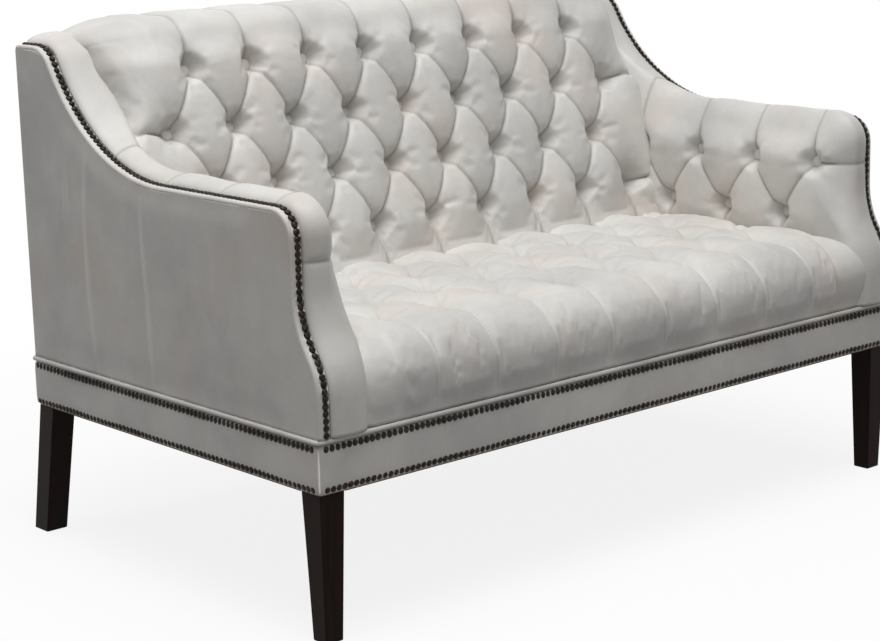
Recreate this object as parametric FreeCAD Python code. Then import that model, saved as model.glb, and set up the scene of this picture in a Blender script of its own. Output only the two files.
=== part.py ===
import FreeCAD, Part
import math
import os

# Two-seat chesterfield with deep-buttoned back, arms and seat on a hardwood frame.
# Millimetres. +Z up, the front faces -Y, the floor is Z = 0 and X = 0 is the mirror plane.
# Depths written as "from the front" are measured back from the outer face of the front base band.

V = FreeCAD.Vector

# Overall sizes
base_width = 1400.0
base_depth = 824.0
leg_height = 245.0
band_height = 81.0
arm_height = 682.0
back_height = 890.0
seat_height = 466.0
seat_depth = 506.0
arm_width = 108.0

# Leather, clearances and trim
leather = 2.0
ease = 0.3
band_thickness = 3.0
band_corner_radius = 9.0
piping_radius = 4.0
nail_radius = 5.5
nail_rise = 3.4
nail_pitch = 11.4
nail_from_side = 14.0
nail_from_band_edge = 8.5

# Side outline of the arm and the ear that sweeps up to the back
arm_toe_proud = 4.0
arm_front_setback = 50.0
toe_height = 428.0
throat_height = 512.0
toe_radius = 100.0
throat_radius = 150.0
arm_nose_radius = 45.0
ear_slope = 59.0
ear_sweep_radius = 366.0
ear_corner_radius = 55.0
ear_top_length = 89.0
ear_rear_radius = 10.0

# Rolled padding over the arm, the ear and the back
arm_rim = 22.0
arm_rim_radius = 7.0
arm_crown = 16.0
toe_crown = 8.0
ear_crown = 30.0
arm_inner_radius = 30.0
arm_outer_radius = 15.0
back_rake = 18.8
back_crown = 38.0
back_roll_radius = 62.0
back_rear_radius = 38.0
back_pad_depth = 112.0
back_side_radius = 35.0
seat_nose_radius = 58.0
seat_side_radius = 18.0

# Deep buttoning
tuft_columns = 9
back_tuft_rows = 4
back_tuft_pitch = 102.0
back_tuft_top = 840.0
seat_tuft_rows = 4
seat_tuft_pitch = 115.0
seat_tuft_front = 130.0
arm_tufts = 4
arm_tuft_front = 110.0
arm_tuft_pitch = 147.0
arm_tuft_low = 497.0
arm_tuft_high = 600.0
button_radius = 12.0
button_edge = 3.0
button_dome = 4.0
back_tuft_depth = 28.0
arm_tuft_depth = 24.0
seat_tuft_depth = 12.0
tuft_mouth = 42.0
seat_tuft_mouth = 28.0

# Timber frame
rail_stock = 28.0
post_width = 55.0
arm_rail_height = 40.0
arm_tack_low = 395.0
back_post_width = 62.0
back_rail_height = 30.0
back_tack_width = 30.0
upright_width = 45.0
upright_depth = 28.0
upright_spacing = 263.0
wing_lap = 69.0
brace_width = 40.0
brace_height = 50.0
brace_lift = 5.0
brace_from_middle = 197.0
corner_block_leg = 70.0
corner_block_height = 55.0
dowel_radius = 4.0
dowel_length = 36.0
dowel_shares = (0.3, 0.7)
screw_radius = 2.2
screw_head_radius = 4.5
screw_head_height = 3.0
screw_bite = 14.0
screw_from_corner = 42.0

# Springs, webbing and cloth
spring_wire_radius = 1.9
spring_step = 36.0
spring_half_width = 16.0
clip_width = 22.0
clip_depth = 12.0
clip_wall = 2.0
deck_thickness = 1.5
deck_lap = 21.0
web_width = 50.0
web_thickness = 2.0
arm_web_drop = 11.0
dust_thickness = 1.2

# Legs
leg_inset = 4.0
front_leg_top = 48.0
front_leg_foot = 34.0
back_leg_top = 46.0
back_leg_foot = 43.0
back_leg_rake = 50.0
bolt_radius = 4.0
bolt_in_leg = 55.0
bolt_wall = 1.5
bolt_from_block = 10.0
washer_radius = 9.0
washer_thickness = 2.0
nut_across = 13.0
nut_height = 6.5
nut_sides = 6

# Smallest length that counts as more than none
tiny = 1e-3

# Places worked out from the sizes above
front_y = -(base_depth - leg_inset + back_leg_rake - arm_toe_proud - toe_crown) / 2
half_width = base_width / 2
rail_out = half_width - band_thickness
rail_in = rail_out - rail_stock
rail_corner_radius = band_corner_radius - band_thickness
band_top = leg_height + band_height
rail_top = band_top + 2 * piping_radius
cover_floor = rail_top + ease
inner_x = half_width - arm_width
rim_x = half_width - arm_rim
frame_out = half_width - leather - ease
frame_in = rim_x + ease
rear_depth = base_depth - band_thickness
top_rail_rear = rear_depth - 2 * (leather + ease)
rake = math.tan(math.radians(back_rake))
spring_z = rail_top + ease + spring_wire_radius
clip_top = spring_z + spring_wire_radius + ease + clip_wall
deck_low = clip_top + ease
foam_floor = deck_low + deck_thickness + ease
deck_front = band_thickness + rail_stock - deck_lap
tuft_pitch = 2 * inner_x / tuft_columns
back_top = back_height + back_crown
panel_top = back_height - ear_rear_radius
top_rail_top = panel_top - leather - ease
arm_tack_top = arm_tack_low + arm_rail_height
back_post_front = rear_depth - leather - ease - back_post_width
arm_rail_top = arm_height - leather - ease


def yz(depth, height, x=0.0):
    return V(x, front_y + depth, height)


def back_face(height):
    """Depth of the raked inside back at a height."""
    return seat_depth + (height - seat_height) * rake


def rounded_wire(corners, x):
    """Closed wire in a plane of constant X from (depth, height, corner radius) corners."""
    edges = []
    ends = []
    count = len(corners)
    for i in range(count):
        depth, height, radius = corners[i]
        here = yz(depth, height, x)
        before = yz(corners[i - 1][0], corners[i - 1][1], x)
        after = yz(corners[(i + 1) % count][0], corners[(i + 1) % count][1], x)
        to_before = (before - here).normalize()
        to_after = (after - here).normalize()
        if radius <= 0:
            ends.append((here, None, here))
            continue
        half = to_before.getAngle(to_after) / 2
        reach = radius / math.tan(half)
        bisector = (to_before + to_after).normalize()
        middle = here + bisector * (radius / math.sin(half) - radius)
        ends.append((here + to_before * reach, middle, here + to_after * reach))
    for i in range(count):
        start, middle, end = ends[i]
        if middle is not None:
            edges.append(Part.Arc(start, middle, end).toShape())
        following = ends[(i + 1) % count][0]
        if end.distanceToPoint(following) > tiny:
            edges.append(Part.LineSegment(end, following).toShape())
    return Part.Wire(edges)


def moved_outline(corners, shifts):
    """Outline with edge i, from corner i to the next, moved inwards by shifts[i]."""
    count = len(corners)
    area = 0.0
    for i in range(count):
        y0, z0 = corners[i][:2]
        y1, z1 = corners[(i + 1) % count][:2]
        area += y0 * z1 - y1 * z0
    turn = 1.0 if area > 0 else -1.0
    lines = []
    for i in range(count):
        y0, z0 = corners[i][:2]
        y1, z1 = corners[(i + 1) % count][:2]
        length = math.hypot(y1 - y0, z1 - z0)
        along = ((y1 - y0) / length, (z1 - z0) / length)
        inward = (-along[1] * turn, along[0] * turn)
        lines.append((y0 + inward[0] * shifts[i], z0 + inward[1] * shifts[i], along))
    moved = []
    for i in range(count):
        y0, z0, a = lines[i - 1]
        y1, z1, b = lines[i]
        cross = a[0] * b[1] - a[1] * b[0]
        along = ((y1 - y0) * b[1] - (z1 - z0) * b[0]) / cross
        shift = (shifts[i - 1] + shifts[i]) / 2
        radius = corners[i][2]
        if radius > 0:
            radius -= shift if cross * turn > 0 else -shift
        moved.append((y0 + a[0] * along, z0 + a[1] * along, max(radius, 0.0)))
    return moved


def prism(corners, x0, x1):
    """Solid between x0 and x1 with an outline in depth and height."""
    return Part.Face(rounded_wire(corners, x0)).extrude(V(x1 - x0, 0, 0))


def block(x0, x1, depth0, depth1, z0, z1):
    return Part.makeBox(x1 - x0, depth1 - depth0, z1 - z0, yz(depth0, z0, x0))


def edges_at_x(shape, x, above):
    """Edges in the plane X = x that lie above a height."""
    found = []
    for edge in shape.Edges:
        box = edge.BoundBox
        if abs(box.XMin - x) < tiny and abs(box.XMax - x) < tiny and box.ZMax > above + tiny:
            found.append(edge)
    return found


def mirrored(shape):
    return shape.mirror(V(0, 0, 0), V(1, 0, 0))


def save(shape, node):
    shape.exportStep("parts/" + node + ".step")


def save_pair(right_shape, name):
    """Write a piece of the right-hand side and its mirror image on the left."""
    save(right_shape, "right_" + name)
    save(mirrored(right_shape), "left_" + name)


def group(solids):
    return Part.makeCompound(solids)


# Outlines

def slope_foot():
    """Depth where the ear's slope would meet the level top of the arm."""
    slope_depth = (back_height - arm_height) / math.tan(math.radians(ear_slope))
    return rear_depth - ear_top_length - slope_depth


def sweep_radius():
    """Radius of the sweep from the arm up to the ear, which the slope's length limits."""
    half_turn = math.tan(math.radians(ear_slope / 2))
    slope_length = (back_height - arm_height) / math.sin(math.radians(ear_slope))
    return min(ear_sweep_radius, slope_length / half_turn - ear_corner_radius)


def arm_outline():
    """Outer side of the arm along the nail line, from the front of the base round to its back."""
    ear_front = rear_depth - ear_top_length
    return [
        (-arm_toe_proud, cover_floor, 0),
        (-arm_toe_proud, toe_height, toe_radius),
        (arm_front_setback, throat_height, throat_radius),
        (arm_front_setback, arm_height, arm_nose_radius),
        (slope_foot(), arm_height, sweep_radius()),
        (ear_front, back_height, ear_corner_radius),
        (rear_depth, back_height, ear_rear_radius),
        (rear_depth, cover_floor, 0),
    ]


def roll_outline():
    """Crown of the padded roll, which stands proud of the nail line."""
    shifts = [-toe_crown, -arm_crown, -arm_crown, -arm_crown, -arm_crown, -ear_crown, leather + ease, 0]
    outline = moved_outline(arm_outline(), shifts)
    rear_top = len(outline) - 2
    outline[rear_top] = outline[rear_top][:2] + (back_rear_radius,)
    return outline


def inset_all(corners, amount, floor=0.0):
    """Outline moved in on every edge but the last, which is the floor."""
    return moved_outline(corners, [amount] * (len(corners) - 1) + [floor])


def seat_outline():
    return [
        (0, cover_floor, 0),
        (0, seat_height, seat_nose_radius),
        (back_face(seat_height) - ease, seat_height, 0),
        (back_face(cover_floor) - ease, cover_floor, 0),
    ]


def back_outline():
    return [
        (back_face(cover_floor), cover_floor, 0),
        (back_face(back_top), back_top, back_roll_radius),
        (rear_depth, back_top, back_rear_radius),
        (rear_depth, panel_top, 0),
        (back_face(panel_top) + back_pad_depth, panel_top, 0),
        (back_face(cover_floor) + back_pad_depth, cover_floor, 0),
    ]


# Buttoning: each button is a point on the pad's face and the direction out of the pad

def staggered(row):
    """Button columns of a row: even rows sit between the columns of odd rows."""
    count = tuft_columns - 1 if row % 2 == 0 else tuft_columns
    return [(i - (count - 1) / 2) * tuft_pitch for i in range(count)]


def back_tufts():
    outward = V(0, -math.cos(math.radians(back_rake)), math.sin(math.radians(back_rake)))
    tufts = []
    for row in range(back_tuft_rows):
        height = back_tuft_top - row * back_tuft_pitch
        for x in staggered(row):
            tufts.append((yz(back_face(height), height, x), outward))
    return tufts


def seat_tufts():
    tufts = []
    for row in range(seat_tuft_rows):
        for x in staggered(row):
            tufts.append((yz(seat_tuft_front + row * seat_tuft_pitch, seat_height, x), V(0, 0, 1)))
    return tufts


def arm_tuft_points():
    tufts = []
    for i in range(arm_tufts):
        tufts.append((yz(arm_tuft_front + i * arm_tuft_pitch, arm_tuft_high, inner_x), V(-1, 0, 0)))
    for i in range(arm_tufts - 1):
        depth = arm_tuft_front + (i + 0.5) * arm_tuft_pitch
        tufts.append((yz(depth, arm_tuft_low, inner_x), V(-1, 0, 0)))
    return tufts


def pockets(tufts, depth, mouth, inset):
    """Cone-shaped hollows that the buttons pull into a pad, grown by an inset."""
    spread = math.atan((mouth - button_radius - ease) / depth)
    grow = inset / math.cos(spread)
    bottom = button_radius + ease + grow - inset * math.tan(spread)
    above = leather
    top = mouth + grow + above * math.tan(spread)
    cones = []
    for point, outward in tufts:
        base = point - outward * (depth + inset)
        cones.append(Part.makeCone(bottom, top, depth + inset + above, base, outward))
    return group(cones)


def buttons(tufts, depth):
    """Covered buttons seated on the bottoms of the pockets."""
    made = []
    ball = (button_radius ** 2 + button_dome ** 2) / (2 * button_dome)
    latitude = math.degrees(math.asin((ball - button_dome) / ball))
    for point, outward in tufts:
        seat = point - outward * depth
        rim = Part.makeCylinder(button_radius, button_edge, seat, outward)
        centre = seat + outward * (button_edge + button_dome - ball)
        cap = Part.makeSphere(ball, centre, outward, latitude, 90, 360)
        made.append(rim.fuse(cap).removeSplitter())
    return group(made)


# Padded forms: the same form makes the leather's two faces and the foam under it

def seat_form(inset, floor):
    shifts = [inset, inset, inset, floor]
    form = prism(moved_outline(seat_outline(), shifts), -inner_x + ease + inset, inner_x - ease - inset)
    sides = []
    for x in (-inner_x + ease + inset, inner_x - ease - inset):
        sides += edges_at_x(form, x, seat_height - inset - seat_nose_radius)
    flat = [e for e in sides if e.BoundBox.ZLength < tiny]
    form = form.makeFillet(seat_side_radius - inset, flat)
    return form.cut(pockets(seat_tufts(), seat_tuft_depth, seat_tuft_mouth, inset))


def back_form(inset, behind, floor):
    """The back pad; its face behind the webbing and its floor move by their own amounts."""
    shifts = [inset, inset, inset, behind, behind, floor]
    x = inner_x - ease - inset
    form = prism(moved_outline(back_outline(), shifts), -x, x)
    front_edges = []
    for side in (-x, x):
        for edge in edges_at_x(form, side, cover_floor):
            front = edge.BoundBox.YMin - front_y < back_face(back_top) and edge.BoundBox.ZMax > seat_height
            top = edge.BoundBox.ZMin > back_height
            behind_pad = edge.BoundBox.YMin - front_y > back_face(cover_floor) + back_pad_depth / 2
            if (front and not behind_pad) or top:
                front_edges.append(edge)
    form = form.makeFillet(back_side_radius - inset, front_edges)
    return form.cut(pockets(back_tufts(), back_tuft_depth, tuft_mouth, inset))


def arm_form(inset, outer_x):
    """Right arm and ear roll between the inner face and outer_x."""
    outline = inset_all(roll_outline(), inset)
    form = prism(outline, inner_x + inset, outer_x)
    form = form.makeFillet(arm_inner_radius - inset, edges_at_x(form, inner_x + inset, cover_floor))
    form = form.makeFillet(arm_outer_radius - inset, edges_at_x(form, outer_x, cover_floor))
    return form.cut(pockets(arm_tuft_points(), arm_tuft_depth, tuft_mouth, inset))


def outside_arm_form(inset, floor=0.0):
    """Right outside arm: the leather folds over the frame's edge as a narrow rim."""
    form = prism(inset_all(arm_outline(), inset, floor), rim_x, half_width - inset)
    return form.makeFillet(arm_rim_radius - inset, edges_at_x(form, half_width - inset, cover_floor))


# Frame pieces

def arm_frame_piece(depth0, depth1, z0, z1):
    """Piece of the right arm frame, trimmed to lie inside the leather's outline."""
    inside = outside_arm_form(leather + ease, -2 * ease)
    return block(frame_in, frame_out, depth0, depth1, z0, z1).common(inside)


def dowel(centre, along):
    return Part.makeCylinder(dowel_radius, dowel_length, centre - along * (dowel_length / 2), along)


def right_dowels():
    middle_x = (frame_in + frame_out) / 2
    post_depth = arm_front_setback + leather + ease
    made = []
    for share in dowel_shares:
        made.append(dowel(yz(post_depth + share * post_width, rail_top, middle_x), V(0, 0, 1)))
        made.append(dowel(yz(back_post_front + share * back_post_width, rail_top, middle_x), V(0, 0, 1)))
        rail_depth = top_rail_front() + share * (top_rail_rear - top_rail_front())
        made.append(dowel(yz(rail_depth, top_rail_top - back_rail_height / 2, frame_in), V(1, 0, 0)))
        tack_z = arm_tack_low + share * arm_rail_height
        made.append(dowel(yz(tack_rail_front() + back_tack_width / 2, tack_z, frame_in), V(1, 0, 0)))
    return made


def top_rail_front():
    return back_face(panel_top) + back_pad_depth + web_thickness + 2 * ease


def tack_rail_front():
    return back_face(arm_tack_top) + back_pad_depth + web_thickness + 2 * ease


def all_dowels():
    right = right_dowels()
    return right + [mirrored(d) for d in right]


def corners():
    """The four inner corners of the seat frame, with the signs that point into the frame."""
    found = []
    for sx in (-1, 1):
        found.append((V(sx * rail_in, front_y + band_thickness + rail_stock, 0), -sx, 1))
        found.append((V(sx * rail_in, front_y + rear_depth - rail_stock, 0), -sx, -1))
    return found


def corner_block(corner, sx, sy):
    low = leg_height
    points = [V(corner.x, corner.y, low),
              V(corner.x + sx * corner_block_leg, corner.y, low),
              V(corner.x, corner.y + sy * corner_block_leg, low)]
    face = Part.Face(Part.makePolygon(points + points[:1]))
    return face.extrude(V(0, 0, corner_block_height))


def corner_screws(corner, sx, sy, slack=0.0):
    """Two screws through a corner block, one into each rail."""
    z = leg_height + corner_block_height / 2
    run = corner_block_leg - screw_from_corner
    into_x = (V(sx, 0, 0), V(0, sy * screw_from_corner, 0))
    into_y = (V(0, sy, 0), V(sx * screw_from_corner, 0, 0))
    made = []
    for along, place in (into_x, into_y):
        foot = V(corner.x, corner.y, z) + place
        tip = foot - along * screw_bite
        shank = Part.makeCylinder(screw_radius + slack, screw_bite + run / 2, tip, along)
        head_reach = screw_head_height if slack == 0 else corner_block_leg
        head = Part.makeCylinder(screw_head_radius + slack, head_reach, foot + along * (run / 2), along)
        made.append(shank.fuse(head))
    return made


def leg_centres():
    """Plan centre, top size, foot size and rearward rake of each leg, by name."""
    legs = {}
    for side, sx in (("left", -1), ("right", 1)):
        x = sx * (half_width - leg_inset - front_leg_top / 2)
        near = leg_inset + front_leg_top / 2
        legs[side + "_front_leg"] = (yz(near, 0, x), front_leg_top, front_leg_foot, 0.0)
        x = sx * (half_width - leg_inset - back_leg_top / 2)
        rear = base_depth - leg_inset - back_leg_top / 2
        shift = back_leg_rake + (back_leg_top - back_leg_foot) / 2
        legs[side + "_back_leg"] = (yz(rear, 0, x), back_leg_top, back_leg_foot, shift)
    return legs


def square(centre, size, z):
    half = size / 2
    turns = ((-1, -1), (1, -1), (1, 1), (-1, 1), (-1, -1))
    return Part.makePolygon([V(centre.x + a * half, centre.y + b * half, z) for a, b in turns])


def bolt_in_raked_leg():
    """How deep a back leg's bolt can go before the leaning leg leaves it less than its wall of wood."""
    lean = max(tiny, back_leg_rake + back_leg_top - back_leg_foot) / leg_height
    near_wall = leg_inset + back_leg_top - band_thickness - rail_stock - bolt_from_block - bolt_radius
    return max(bolt_radius, min(bolt_in_leg, (near_wall - bolt_wall) / lean))


def bolt_places():
    """Plan place of each leg's bolt, and how deep it goes into the leg."""
    found = []
    for corner, sx, sy in corners():
        depth = bolt_in_leg if sy > 0 else bolt_in_raked_leg()
        found.append((corner + V(sx * bolt_from_block, sy * bolt_from_block, 0), depth))
    return found


def leg_bolts(slack=0.0):
    above = corner_block_height + washer_thickness + nut_height
    return [Part.makeCylinder(bolt_radius + slack, depth + above, place + V(0, 0, leg_height - depth))
            for place, depth in bolt_places()]


def leg_nuts():
    made = []
    for place, _ in bolt_places():
        seat = place + V(0, 0, leg_height + corner_block_height)
        washer = Part.makeCylinder(washer_radius, washer_thickness, seat)
        corner_reach = nut_across / 2 / math.cos(math.pi / nut_sides)
        ring = []
        for i in range(nut_sides + 1):
            turn = 2 * math.pi * i / nut_sides
            corner = V(corner_reach * math.cos(turn), corner_reach * math.sin(turn), washer_thickness)
            ring.append(seat + corner)
        nut = Part.Face(Part.makePolygon(ring)).extrude(V(0, 0, nut_height))
        bore = Part.makeCylinder(bolt_radius + ease / 2, washer_thickness + nut_height, seat)
        made.append(washer.fuse(nut).cut(bore))
    return made


def make_seat_frame():
    holes = group(all_dowels())
    screw_holes = [s for corner in corners() for s in corner_screws(*corner, slack=ease / 2)]
    cuts = group(screw_holes)
    near = band_thickness + rail_stock
    far = rear_depth - rail_stock
    plan = base_prism(rail_out, band_thickness, rear_depth, rail_corner_radius, rail_top)
    front = plan.common(block(-rail_out, rail_out, band_thickness, near, leg_height, rail_top))
    rear = plan.common(block(-rail_out, rail_out, far, rear_depth, leg_height, rail_top))
    side = block(rail_in, rail_out, near, far, leg_height, rail_top)
    save(front.cut(cuts).cut(holes), "seat_front_rail")
    save(rear.cut(cuts).cut(holes), "seat_back_rail")
    save(side.cut(cuts).cut(holes), "right_side_rail")
    save(mirrored(side).cut(cuts).cut(holes), "left_side_rail")
    brace_low = leg_height + brace_lift
    brace_x = brace_from_middle - brace_width / 2
    brace = block(brace_x, brace_x + brace_width, near, far, brace_low, brace_low + brace_height)
    save_pair(brace, "seat_brace")
    bolt_holes = group(leg_bolts(ease / 2))
    blocks = [corner_block(*corner).cut(bolt_holes).cut(cuts) for corner in corners()]
    save(group(blocks), "corner_blocks")
    save(group([s for corner in corners() for s in corner_screws(*corner)]), "corner_block_screws")


def make_arm_and_back_frame():
    holes = group(all_dowels())
    post_depth = arm_front_setback + leather + ease
    rail_low = arm_rail_top - arm_rail_height
    front_post = arm_frame_piece(post_depth, post_depth + post_width, rail_top, rail_low)
    back_post = arm_frame_piece(back_post_front, rear_depth, rail_top, back_height)
    tack = arm_frame_piece(post_depth + post_width, back_post_front, arm_tack_low, arm_tack_top)
    wing = arm_frame_piece(slope_foot() - wing_lap, back_post_front, arm_rail_top, back_height)
    save_pair(front_post.cut(holes), "front_post")
    save_pair(back_post.cut(holes), "back_post")
    save_pair(arm_frame_piece(0, back_post_front, rail_low, arm_rail_top), "arm_top_rail")
    save_pair(tack.cut(holes), "arm_tack_rail")
    save_pair(wing, "wing_panel")
    top_front = top_rail_front()
    top_low = top_rail_top - back_rail_height
    top_rail = block(-frame_in, frame_in, top_front, top_rail_rear, top_low, top_rail_top)
    save(top_rail.cut(holes), "back_top_rail")
    tack_front = tack_rail_front()
    tack_rear = tack_front + back_tack_width
    tack_rail = block(-frame_in, frame_in, tack_front, tack_rear, arm_tack_low, arm_tack_top)
    save(tack_rail.cut(holes), "back_tack_rail")
    upright = [(tack_front, arm_tack_top, 0), (top_front, top_low, 0),
               (top_front + upright_depth, top_low, 0), (tack_front + upright_depth, arm_tack_top, 0)]
    for side, name in ((-1, "left"), (0, "centre"), (1, "right")):
        x = side * upright_spacing
        save(prism(upright, x - upright_width / 2, x + upright_width / 2), name + "_back_upright")
    save(holes, "frame_dowels")


def make_suspension():
    front_run = band_thickness + rail_stock / 2
    rear_run = rear_depth - rail_stock / 2
    runs = 2 * (int((rear_run - front_run) / spring_step) // 2)
    step = (rear_run - front_run) / runs
    springs = []
    clips = []
    for column in range(tuft_columns):
        x = (column - tuft_columns // 2) * tuft_pitch
        edges = []
        for run in range(runs + 1):
            sign = 1 if run % 2 == 0 else -1
            depth = front_run + run * step
            start = yz(depth, spring_z, x - sign * spring_half_width)
            end = yz(depth, spring_z, x + sign * spring_half_width)
            edges.append(Part.LineSegment(start, end).toShape())
            if run < runs:
                bend = yz(depth + step / 2, spring_z, x + sign * (spring_half_width + step / 2))
                edges.append(Part.Arc(end, bend, yz(depth + step, spring_z, end.x)).toShape())
        path = Part.Wire(edges)
        ring = Part.Wire(Part.makeCircle(spring_wire_radius, edges[0].Vertexes[0].Point, V(1, 0, 0)))
        springs.append(path.makePipeShell([ring], True, False))
        for depth in (front_run, rear_run):
            near = depth - clip_depth / 2
            clip = block(x - clip_width / 2, x + clip_width / 2, near, near + clip_depth, rail_top, clip_top)
            reach = spring_wire_radius + ease
            low = rail_top - ease
            high = spring_z + reach
            slot = block(x - clip_width, x + clip_width, depth - reach, depth + reach, low, high)
            clips.append(clip.cut(slot))
    save(group(springs), "seat_springs")
    save(group(clips), "spring_clips")
    deck = block(-inner_x + clip_wall, inner_x - clip_wall, deck_front, back_post_front, deck_low,
                 deck_low + deck_thickness)
    save(deck, "seat_deck_cloth")


def make_webbing():
    tack = tack_rail_front()
    top = top_rail_front()
    rail_low = top_rail_top - back_rail_height
    strap = [(tack - web_thickness, arm_tack_low, 0), (tack - web_thickness, arm_tack_top, 0),
             (top - web_thickness, rail_low, 0), (top - web_thickness, top_rail_top, 0),
             (top, top_rail_top, 0), (top, rail_low, 0), (tack, arm_tack_top, 0), (tack, arm_tack_low, 0)]
    straps = [prism(strap, x - web_width / 2, x + web_width / 2) for x in staggered(0)]
    save(group(straps), "back_webbing")
    arm_straps = []
    web_top = arm_rail_top - arm_web_drop
    for i in range(arm_tufts - 1):
        near = arm_tuft_front + (i + 0.5) * arm_tuft_pitch - web_width / 2
        far = near + web_width
        arm_straps.append(block(frame_in - web_thickness, frame_in, near, far, arm_tack_low, web_top))
    save(group(arm_straps + [mirrored(s) for s in arm_straps]), "arm_webbing")


def make_seat():
    deeper = leather + ease
    shell = seat_form(0, 0).cut(seat_form(leather, -leather))
    under = block(-inner_x, inner_x, deck_front - ease, base_depth, 0, foam_floor)
    save(shell.cut(under), "seat_cover")
    save(seat_form(deeper, foam_floor - cover_floor), "seat_foam")
    save(buttons(seat_tufts(), seat_tuft_depth), "seat_buttons")


def make_back():
    floor = foam_floor - cover_floor
    shell = back_form(0, 0, floor).cut(back_form(leather, -leather, floor - leather))
    save(shell, "inside_back_cover")
    save(back_form(leather + ease, ease, floor), "back_foam")
    save(buttons(back_tufts(), back_tuft_depth), "back_buttons")
    panel = block(-rim_x, rim_x, rear_depth - leather, rear_depth, cover_floor, panel_top - ease)
    save(panel, "outside_back_panel")


def rail_gap(near, far, low, high):
    """Room in the right arm's padding for a back rail that passes through it."""
    return block(inner_x - leather, rim_x, near - ease, far + ease / 2, low - ease, high + ease)


def make_arms():
    shell = arm_form(0, rim_x).cut(arm_form(leather, rim_x - leather))
    opening = inset_all(roll_outline(), arm_outer_radius, -leather)
    open_side = prism(opening, rim_x - 2 * leather, rim_x + leather)
    rail_gaps = group([
        rail_gap(top_rail_front(), top_rail_rear, top_rail_top - back_rail_height, top_rail_top),
        rail_gap(tack_rail_front(), tack_rail_front() + back_tack_width, arm_tack_low, arm_tack_top)])
    save_pair(shell.cut(open_side).cut(rail_gaps), "inside_arm_cover")
    foam = arm_form(leather + ease, frame_in - web_thickness - 2 * ease)
    save_pair(foam.cut(rail_gaps), "arm_foam")
    save_pair(buttons(arm_tuft_points(), arm_tuft_depth), "arm_buttons")
    save_pair(outside_arm_form(0).cut(outside_arm_form(leather)), "outside_arm_cover")


def rounded_plan(half_x, near, far, radius, z):
    """Closed rounded rectangle in plan."""
    arcs = []
    for sx, depth, start in ((1, far, 0), (-1, far, 90), (-1, near, 180), (1, near, 270)):
        centre = yz(depth - radius if depth == far else depth + radius, z, sx * (half_x - radius))
        turns = [math.radians(start + turn) for turn in (0, 45, 90)]
        points = [centre + V(math.cos(turn), math.sin(turn), 0) * radius for turn in turns]
        arcs.append(Part.Arc(*points).toShape())
    edges = []
    for i in range(len(arcs)):
        edges.append(arcs[i])
        following = arcs[(i + 1) % len(arcs)].Vertexes[0].Point
        edges.append(Part.LineSegment(arcs[i].Vertexes[-1].Point, following).toShape())
    return Part.Wire(edges)


def base_prism(half_x, near, far, radius, top):
    """Rounded block of the base, from the underside of the rails up to a height."""
    return Part.Face(rounded_plan(half_x, near, far, radius, leg_height)).extrude(V(0, 0, top - leg_height))


def make_band():
    outer = base_prism(half_width, 0, base_depth, band_corner_radius, band_top)
    ring = outer.cut(base_prism(rail_out, band_thickness, rear_depth, rail_corner_radius, band_top))
    reach = band_corner_radius + band_thickness
    front = ring.common(block(-base_width, base_width, -reach, reach, 0, rail_top))
    rear = ring.common(block(-base_width, base_width, base_depth - reach, base_depth + reach, 0, rail_top))
    side = ring.common(block(0, base_width, reach, base_depth - reach, 0, rail_top))
    save(front, "front_band")
    save(rear, "back_band")
    save_pair(side, "side_band")
    out = piping_radius
    path = rounded_plan(rail_out + out, band_thickness - out, rear_depth + out, rail_corner_radius + out,
                        band_top + piping_radius)
    first = path.Edges[1]
    along = first.tangentAt(first.FirstParameter)
    ring = Part.Wire(Part.makeCircle(piping_radius, first.Vertexes[0].Point, along))
    turned = Part.Wire(path.Edges[1:] + path.Edges[:1])
    save(turned.makePipeShell([ring], True, False), "base_piping")


def nail(point, outward):
    ball = (nail_radius ** 2 + nail_rise ** 2) / (2 * nail_rise)
    latitude = math.degrees(math.asin((ball - nail_rise) / ball))
    return Part.makeSphere(ball, point + outward * (nail_rise - ball), outward, latitude, 90, 360)


def nail_run(start, end, outward):
    """Touching nails along a straight run."""
    count = max(2, round((end - start).Length / nail_pitch))
    return [nail(start + (end - start) * ((i + 0.5) / count), outward) for i in range(count)]


def make_nails():
    for name, z in (("upper_band_nails", band_top - nail_from_band_edge),
                    ("lower_band_nails", leg_height + nail_from_band_edge)):
        near = band_corner_radius
        far = base_depth - band_corner_radius
        x = half_width - band_corner_radius
        nails = nail_run(yz(0, z, -x), yz(0, z, x), V(0, -1, 0))
        nails += nail_run(yz(near, z, half_width), yz(far, z, half_width), V(1, 0, 0))
        nails += nail_run(yz(base_depth, z, x), yz(base_depth, z, -x), V(0, 1, 0))
        nails += nail_run(yz(far, z, -half_width), yz(near, z, -half_width), V(-1, 0, 0))
        save(group(nails), name)
    line = rounded_wire(arm_outline(), half_width - nail_from_side)
    rear_y = front_y + rear_depth - ear_rear_radius - tiny
    low = cover_floor + tiny
    edges = [e for e in line.Edges if e.BoundBox.ZMax > low and e.BoundBox.YMin < rear_y]
    path = Part.Wire(Part.sortEdges(edges)[0])
    count = round(path.Length / nail_pitch)
    points = path.discretize(Number=2 * count + 1)
    if points[0].y > points[-1].y:
        points.reverse()
    nails = []
    for i in range(1, 2 * count, 2):
        along = (points[i + 1] - points[i - 1]).normalize()
        outward = V(0, -along.z, along.y)
        nails.append(nail(points[i] + outward * (ease / 2), outward))
    save_pair(group(nails), "arm_nails")


def make_legs():
    bolt_holes = group(leg_bolts(ease / 2))
    for name, (centre, top, foot, shift) in leg_centres().items():
        sections = [square(centre, top, leg_height), square(centre + V(0, shift, 0), foot, 0)]
        save(Part.makeLoft(sections, True, True).cut(bolt_holes), name)
    save(group(leg_bolts()), "leg_bolts")
    save(group(leg_nuts()), "leg_nuts")


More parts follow.
